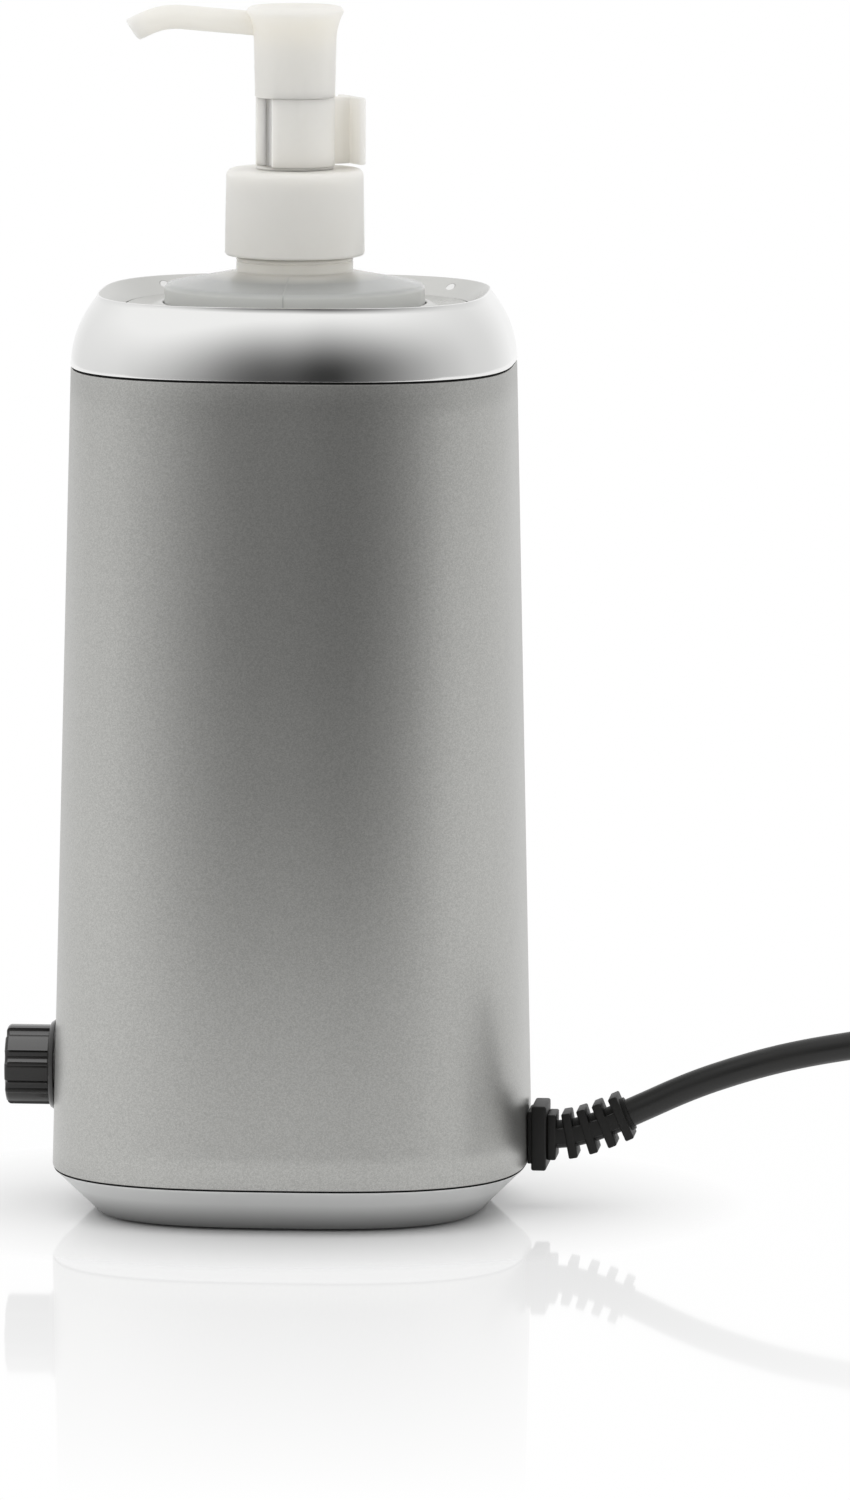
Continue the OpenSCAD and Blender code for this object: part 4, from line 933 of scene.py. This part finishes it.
# Plug: black PVC moulded on the cord's end, with grip rings on its tail and three plated pins.
# The pins stay in view as solids.
plug = bmesh.new()
grip_rings, grip_pitch = 3, 4.0
tail_rings = [(3.6, 0.0)]
for k in range(grip_rings):
    z = 1.0 + grip_pitch * k
    tail_rings += [(5.4, z - 0.4), (6.2, z), (6.4, z + 0.3), (6.4, z + 1.7), (6.2, z + 2.0), (5.4, z + 2.2)]
tail_start, _ = stacked(plug, tail_rings + [(5.4, 12.5)], outline=round_radius, segments=64)
body_start, body_end = stacked(
    plug,
    [(6.0, 11.8), (6.4, 12.0), (8.3, 16.0), (10.4, 21.0), (12.2, 26.0), (12.9, 30.0), (13.0, 32.0), (13.0, 43.8)]
    + [(12.8, 44.4), (12.3, 44.9), (11.6, 45.0)],
    segments=96,
)
for end in (tail_start, body_start, body_end):
    bmesh.ops.edgeloop_fill(plug, edges=end)
at_plug = (
    Matrix.Translation((208, 43.883, 13.2))
    @ Matrix.Rotation(-math.pi / 2, 4, "Y")
    @ Matrix.Rotation(math.pi / 2, 4, "Z")
)
bmesh.ops.transform(plug, matrix=at_plug, verts=plug.verts)
moulded_plug = piece(plug, "moulded_plug", "warmer", jacket_pvc, "plug", slot="black_plastic")
plated_brass = grained(
    "plated_brass", (0.62, 0.60, 0.54), (0.70, 0.68, 0.62), 0.22, 0.32, grain=3000.0, Metallic=1.0
)
dress(plated_brass, "plug_pins")

# Bottle: blow-moulded natural polyethylene, milky and half clear, with a parting line.
# A shallow groove runs round the neck under the closure. The bottle stands loose on the well's pad.
bottle = turned(
    bmesh.new(),
    [(0, 47.6, 0), (24, 47.4, 2.0), (26, 47.0, 0.6), (31.2, 47.0, 3.8), (31.2, 222.0, 1.1), (14.0, 225.3, 0.3)]
    + [(14.0, 227.55, 0.1), (13.86, 227.65, 0), (13.86, 227.8, 0), (14.0, 227.9, 0.1), (14.0, 228.8, 0.7)]
    + [(13.0, 228.8, 0), (13.0, 243.1, 0.3), (10.9, 243.1, 0.3), (10.9, 224.5, 1.5), (30.0, 220.85, 0.8)]
    + [(30.0, 48.4, 3.0), (0, 48.8, 0)],
    segments=8,
)
milky, tree, skin = finish("milky_polyethylene")
spot = add(tree, "ShaderNodeTexCoord")
parts = add(tree, "ShaderNodeSeparateXYZ")
line = calc(tree, "ABSOLUTE")
seam = add(tree, "ShaderNodeMapRange", From_Min=0.00005, From_Max=0.0003, To_Min=1.0, To_Max=0.0)
waves = add(tree, "ShaderNodeTexNoise", Scale=70.0, Detail=3.0)
height = calc(tree, "ADD")
bump = add(tree, "ShaderNodeBump", Strength=0.35, Distance=0.0002)
gloss = add(tree, "ShaderNodeMapRange", From_Min=0.3, From_Max=0.7, To_Min=0.18, To_Max=0.26)
# The wall is thick and warm in tone at the neck and thin and grey over the shoulder; neck and side wall are also
# painted lighter, painted light where the closure shades the neck and the side faces the dim front.
below_neck = add(tree, "ShaderNodeMapRange", From_Min=0.2238, From_Max=0.2252, To_Min=1.0, To_Max=0.0)
low_seam = calc(tree, "MULTIPLY")
wall_height = add(tree, "ShaderNodeMapRange", From_Min=0.22, From_Max=0.226)
tone_and_painted_light = add(tree, "ShaderNodeValToRGB")
stops = tone_and_painted_light.color_ramp.elements
stops[0].position, stops[0].color = 0.2, (0.82, 0.83, 0.80, 1.0)
stops[1].position, stops[1].color = 0.87, (0.95, 0.92, 0.85, 1.0)
for height_share in (0.36, 0.63):
    stops.new(height_share).color = (0.53, 0.541, 0.53, 1.0)
parted = blend(tree, (0.58, 0.59, 0.58))
link(
    tree,
    (spot, "Object", parts, "Vector"),
    (spot, "Object", waves, "Vector"),
    (parts, "X", line, 0),
    (line, "Value", seam, "Value"),
    (low_seam, "Value", height, 0),
    (waves, "Fac", height, 1),
    (height, "Value", bump, "Height"),
    (bump, "Normal", skin, "Normal"),
    (waves, "Fac", gloss, "Value"),
    (gloss, "Result", skin, "Roughness"),
    (parts, "Z", below_neck, "Value"),
    (parts, "Z", wall_height, "Value"),
    (wall_height, "Result", tone_and_painted_light, "Fac"),
    (seam, "Result", low_seam, 0),
    (below_neck, "Result", low_seam, 1),
    (tone_and_painted_light, "Color", parted, 6),
    (low_seam, "Value", parted, 0),
    (parted, 2, skin, "Base Color"),
)
set_inputs(skin, {"Transmission Weight": 0.3, "IOR": 1.5, "Subsurface Weight": 0.4})
set_inputs(skin, {"Subsurface Radius": (1.0, 1.0, 0.95), "Subsurface Scale": 0.003})
piece(bottle, "oil_bottle", "bottle_unit", milky, "bottle", slot="bottle_plastic")

# Pump body: gasket, cylinder, dip tube and guide in white polypropylene, hung in the neck.
# The tube is pressed into the cylinder's foot and the guide into its mouth.
white_pp = grained(
    "white_polypropylene", (0.86, 0.832, 0.768), (0.89, 0.862, 0.798), 0.34, 0.44,
    grain=1600.0, drift=40.0, depth=0.00001, strength=0.25,
    Subsurface_Weight=0.9, Subsurface_Radius=(1.0, 1.0, 1.0), Subsurface_Scale=0.006,
)
gasket = turned(bmesh.new(), [(9.9, 243.1, 0), (13.0, 243.1, 0.2), (13.0, 244.2, 0.2), (9.9, 244.2, 0)])
piece(gasket, "gasket", "pump_unit", white_pp, "neck_gasket", slot="pump_plastic")
cylinder = turned(
    bmesh.new(),
    [(1.8, 184.2, 0), (3.12, 184.2, 0), (3.12, 178.2, 0), (4.6, 178.2, 0.4), (5.1, 190.2, 0.5), (9.8, 192.2, 1.0)]
    + [(9.8, 244.2, 0.3), (13.0, 244.2, 0.2), (13.0, 245.7, 0.2), (8.3, 245.7, 0), (8.3, 194.2, 0.5)]
    + [(2.2, 194.2, 0), (2.2, 193.2, 0), (3.4, 193.2, 0), (3.4, 187.2, 0), (1.8, 187.2, 0)],
)
piece(cylinder, "pump_cylinder", "pump_unit", white_pp, "pump_housing", slot="pump_plastic")
tube = turned(bmesh.new(), [(2.2, 51.2, 0), (3.1, 51.2, 0.2), (3.1, 184.2, 0), (2.2, 184.2, 0)], steps=48)
piece(tube, "suction_tube", "pump_unit", white_pp, "dip_tube", slot="tube_plastic")
guide = turned(
    bmesh.new(),
    [(7.1, 232.3, 0), (8.2, 232.3, 0.2), (8.2, 245.7, 0), (12.4, 245.7, 0.2), (12.4, 246.8, 0.3), (7.9, 246.8, 0.3)]
    + [(7.9, 249.8, 0), (9.3, 249.8, 0.1), (9.3, 250.4, 0.15), (7.1, 250.4, 0.2)],
)
piece(guide, "stem_guide", "pump_unit", white_pp, "guide_sleeve", slot="pump_plastic")

# Valve and plunger: a steel ball under a slotted lip, a steel spring and the piston that the stem pushes down.
# The spring shortens with the stroke.
dress(zinc_plate, "check_ball")
spring_turns, spring_rise, spring_r, spring_z, wire_r = 7, 26.2, 6.0, 195.1, 0.6
spring_steps = spring_turns * steps_a_turn
spring = bmesh.new()
wire_at = Matrix.Translation((spring_r, 0, spring_z)) @ Matrix.Rotation(math.pi / 2, 4, "X")
wire = bmesh.ops.create_circle(spring, segments=10, radius=wire_r, matrix=wire_at)["verts"]
bmesh.ops.spin(
    spring, geom=wire + list({e for v in wire for e in v.link_edges}), cent=(0, 0, 0), axis=(0, 0, 1),
    dvec=(0, 0, spring_rise / spring_steps), angle=spring_turns * 2 * math.pi, steps=spring_steps,
)
bmesh.ops.holes_fill(spring, edges=spring.edges[:], sides=12)
steel_spring = piece(spring, "steel_spring", "pump_unit", zinc_plate, "return_spring", slot="steel")
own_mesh(steel_spring)
plunger = turned(
    bmesh.new(),
    [(2.5, 222.2, 0), (8.2, 222.2, 0.2), (8.2, 224.2, 0.2), (7.7, 224.2, 0), (7.7, 230.2, 0), (8.2, 230.2, 0.2)]
    + [(8.2, 232.2, 0.2), (7.05, 232.2, 0), (7.05, 226.2, 0), (2.5, 226.2, 0)],
    steps=64,
)
piece(plunger, "pump_piston", "plunger_unit", white_pp, "piston", slot="pump_plastic")

# Closure: a smooth white screw cap that clamps the pump's flange on the neck.
# It is moulded polypropylene; its thread is left out.
cap = turned(
    bmesh.new(),
    [(14.3, 229.0, 0.3), (16.75, 229.0, 0.9), (16.4, 249.7, 1.5), (8.2, 249.7, 0.4), (8.2, 246.9, 0.2)]
    + [(14.3, 246.9, 0.5)],
    segments=6,
)
piece(cap, "screw_closure", "closure_unit", white_pp, "closure", slot="pump_plastic")

# Pump head: a flared white button on the stem, with a thin spout that rises a little and turns down at its tip.
# Button and spout are one moulding, pushed on the stem.
head = turned(
    bmesh.new(),
    [(7.03, 266.9, 0.2), (9.57, 266.9, 0.25)]
    + [(r, z, 0) for r, z in arc(24.87, 280.2, 15.0, 180, 152.2, 10)]
    + [(r, z, 0) for r, z in arc(10.2, 287.2, 1.4, 10, 90, 6)]
    + [(8.8, 288.35, 0.6), (0, 288.0, 0), (0, 278.9, 0), (7.03, 278.9, 0)],
)
spout_r, spout_points, bend_r, bend_steps = 2.95, 40, 17.0, 18
lean, down = math.radians(4.4), math.radians(29.8)
root = Vector((-2.5, 0, 283.81))
way = Vector((-math.cos(lean), 0, math.sin(lean)))
square_to_way = Matrix.Rotation(math.pi / 2 - lean, 4, "Y")
spout = bmesh.new()
rim = bmesh.ops.create_circle(
    spout, segments=spout_points, radius=spout_r, matrix=Matrix.Translation(root) @ square_to_way
)["verts"]
ring = list({e for v in rim for e in v.link_edges})
bmesh.ops.edgeloop_fill(spout, edges=ring)
for run in (11.0, 13.7):
    rim, ring = grown(spout, ring)
    bmesh.ops.translate(spout, vec=way * run, verts=rim)
    root = root + way * run
centre = root + Vector((-math.sin(lean), 0, -math.cos(lean))) * bend_r
bent = bmesh.ops.spin(spout, geom=rim + ring, cent=centre, axis=(0, 1, 0), angle=-down, steps=bend_steps)
rim, ring = split(bent["geom_last"])
tip = sum((v.co for v in rim), Vector()) / spout_points
drip = Vector((-math.cos(down - lean), 0, -math.sin(down - lean)))
radius = spout_r
for next_radius, push in ((spout_r, 3.3), (2.85, 0.2), (2.65, 0.1), (1.7, 0.0), (1.55, -0.15), (1.5, -2.0)):
    rim, ring = grown(spout, ring)
    k = next_radius / radius
    bmesh.ops.scale(spout, vec=(k, k, k), space=Matrix.Translation(-tip), verts=rim)
    bmesh.ops.translate(spout, vec=drip * push, verts=rim)
    tip = tip + drip * push
    radius = next_radius
bmesh.ops.edgeloop_fill(spout, edges=ring)
head = worked(head, spout, "UNION")
piece(head, "pump_button", "head_unit", white_pp, "pump_head", slot="pump_plastic")
stem = turned(bmesh.new(), [(2.5, 226.3, 0), (7.0, 226.3, 0.2), (7.0, 278.8, 0.2), (2.5, 278.8, 0)], steps=96)
piece(stem, "pump_stem_tube", "head_unit", white_pp, "pump_stem", slot="pump_plastic")

# Lock clip: a springy white C-ring that fills the stroke so that the pump can't be pressed, with a pull tab.
# Both edges of its mouth thin out on the stem.
clip_thick, clip_high, clip_r, clip_z = 2.46, 16.35, 8.27, 258.65
clip_start, clip_span, tab_turn, tab_z = math.radians(240), math.radians(298), math.radians(30), 258.55
clip_in, clip_out, tip_r, mouth_z, mouth_high = 7.05, 9.45, 7.12, 250.5, 16.3
clip = bmesh.new()
bmesh.ops.create_grid(clip, x_segments=1, y_segments=1, size=0.5)
bmesh.ops.scale(clip, vec=(clip_thick, clip_high, 1.0), verts=clip.verts)
bmesh.ops.bevel(clip, geom=clip.verts[:], offset=0.2, affect="VERTICES", segments=3, profile=0.5, material=-1)
at_start = (
    Matrix.Rotation(clip_start, 4, "Z")
    @ Matrix.Translation((clip_r, 0, clip_z))
    @ Matrix.Rotation(math.pi / 2, 4, "X")
)
bmesh.ops.transform(clip, matrix=at_start, verts=clip.verts)
bmesh.ops.spin(clip, geom=clip.faces[:], cent=(0, 0, 0), axis=(0, 0, 1), angle=clip_span, steps=64)
towards_tab = Matrix.Rotation(tab_turn, 4, "Z")
for size, out in (((5.6, 1.8, 16.1), 11.6), ((1.8, 13.0, 16.1), 14.9)):
    tab = bmesh.new()
    rubber_block(tab, size, towards_tab @ Matrix.Translation((out, 0, tab_z)), 0.5)
    clip = worked(clip, tab, "UNION")
for full, thin in ((242, 208), (176, 203)):
    edge = bmesh.new()
    lip = arc(0, 0, clip_in, full, thin, 6)
    lip += arc(0, 0, tip_r, thin, thin, 1)[:1] + arc(0, 0, clip_out, full, full, 1)[:1]
    outline = edge.faces.new([edge.verts.new((x, y, mouth_z)) for x, y in lip])
    top, _ = split(bmesh.ops.extrude_face_region(edge, geom=[outline])["geom"])
    bmesh.ops.translate(edge, vec=(0, 0, mouth_high), verts=top)
    clip = worked(clip, edge, "UNION")
piece(clip, "stroke_clip", "clip_unit", white_pp, "lock_clip", slot="pump_plastic")
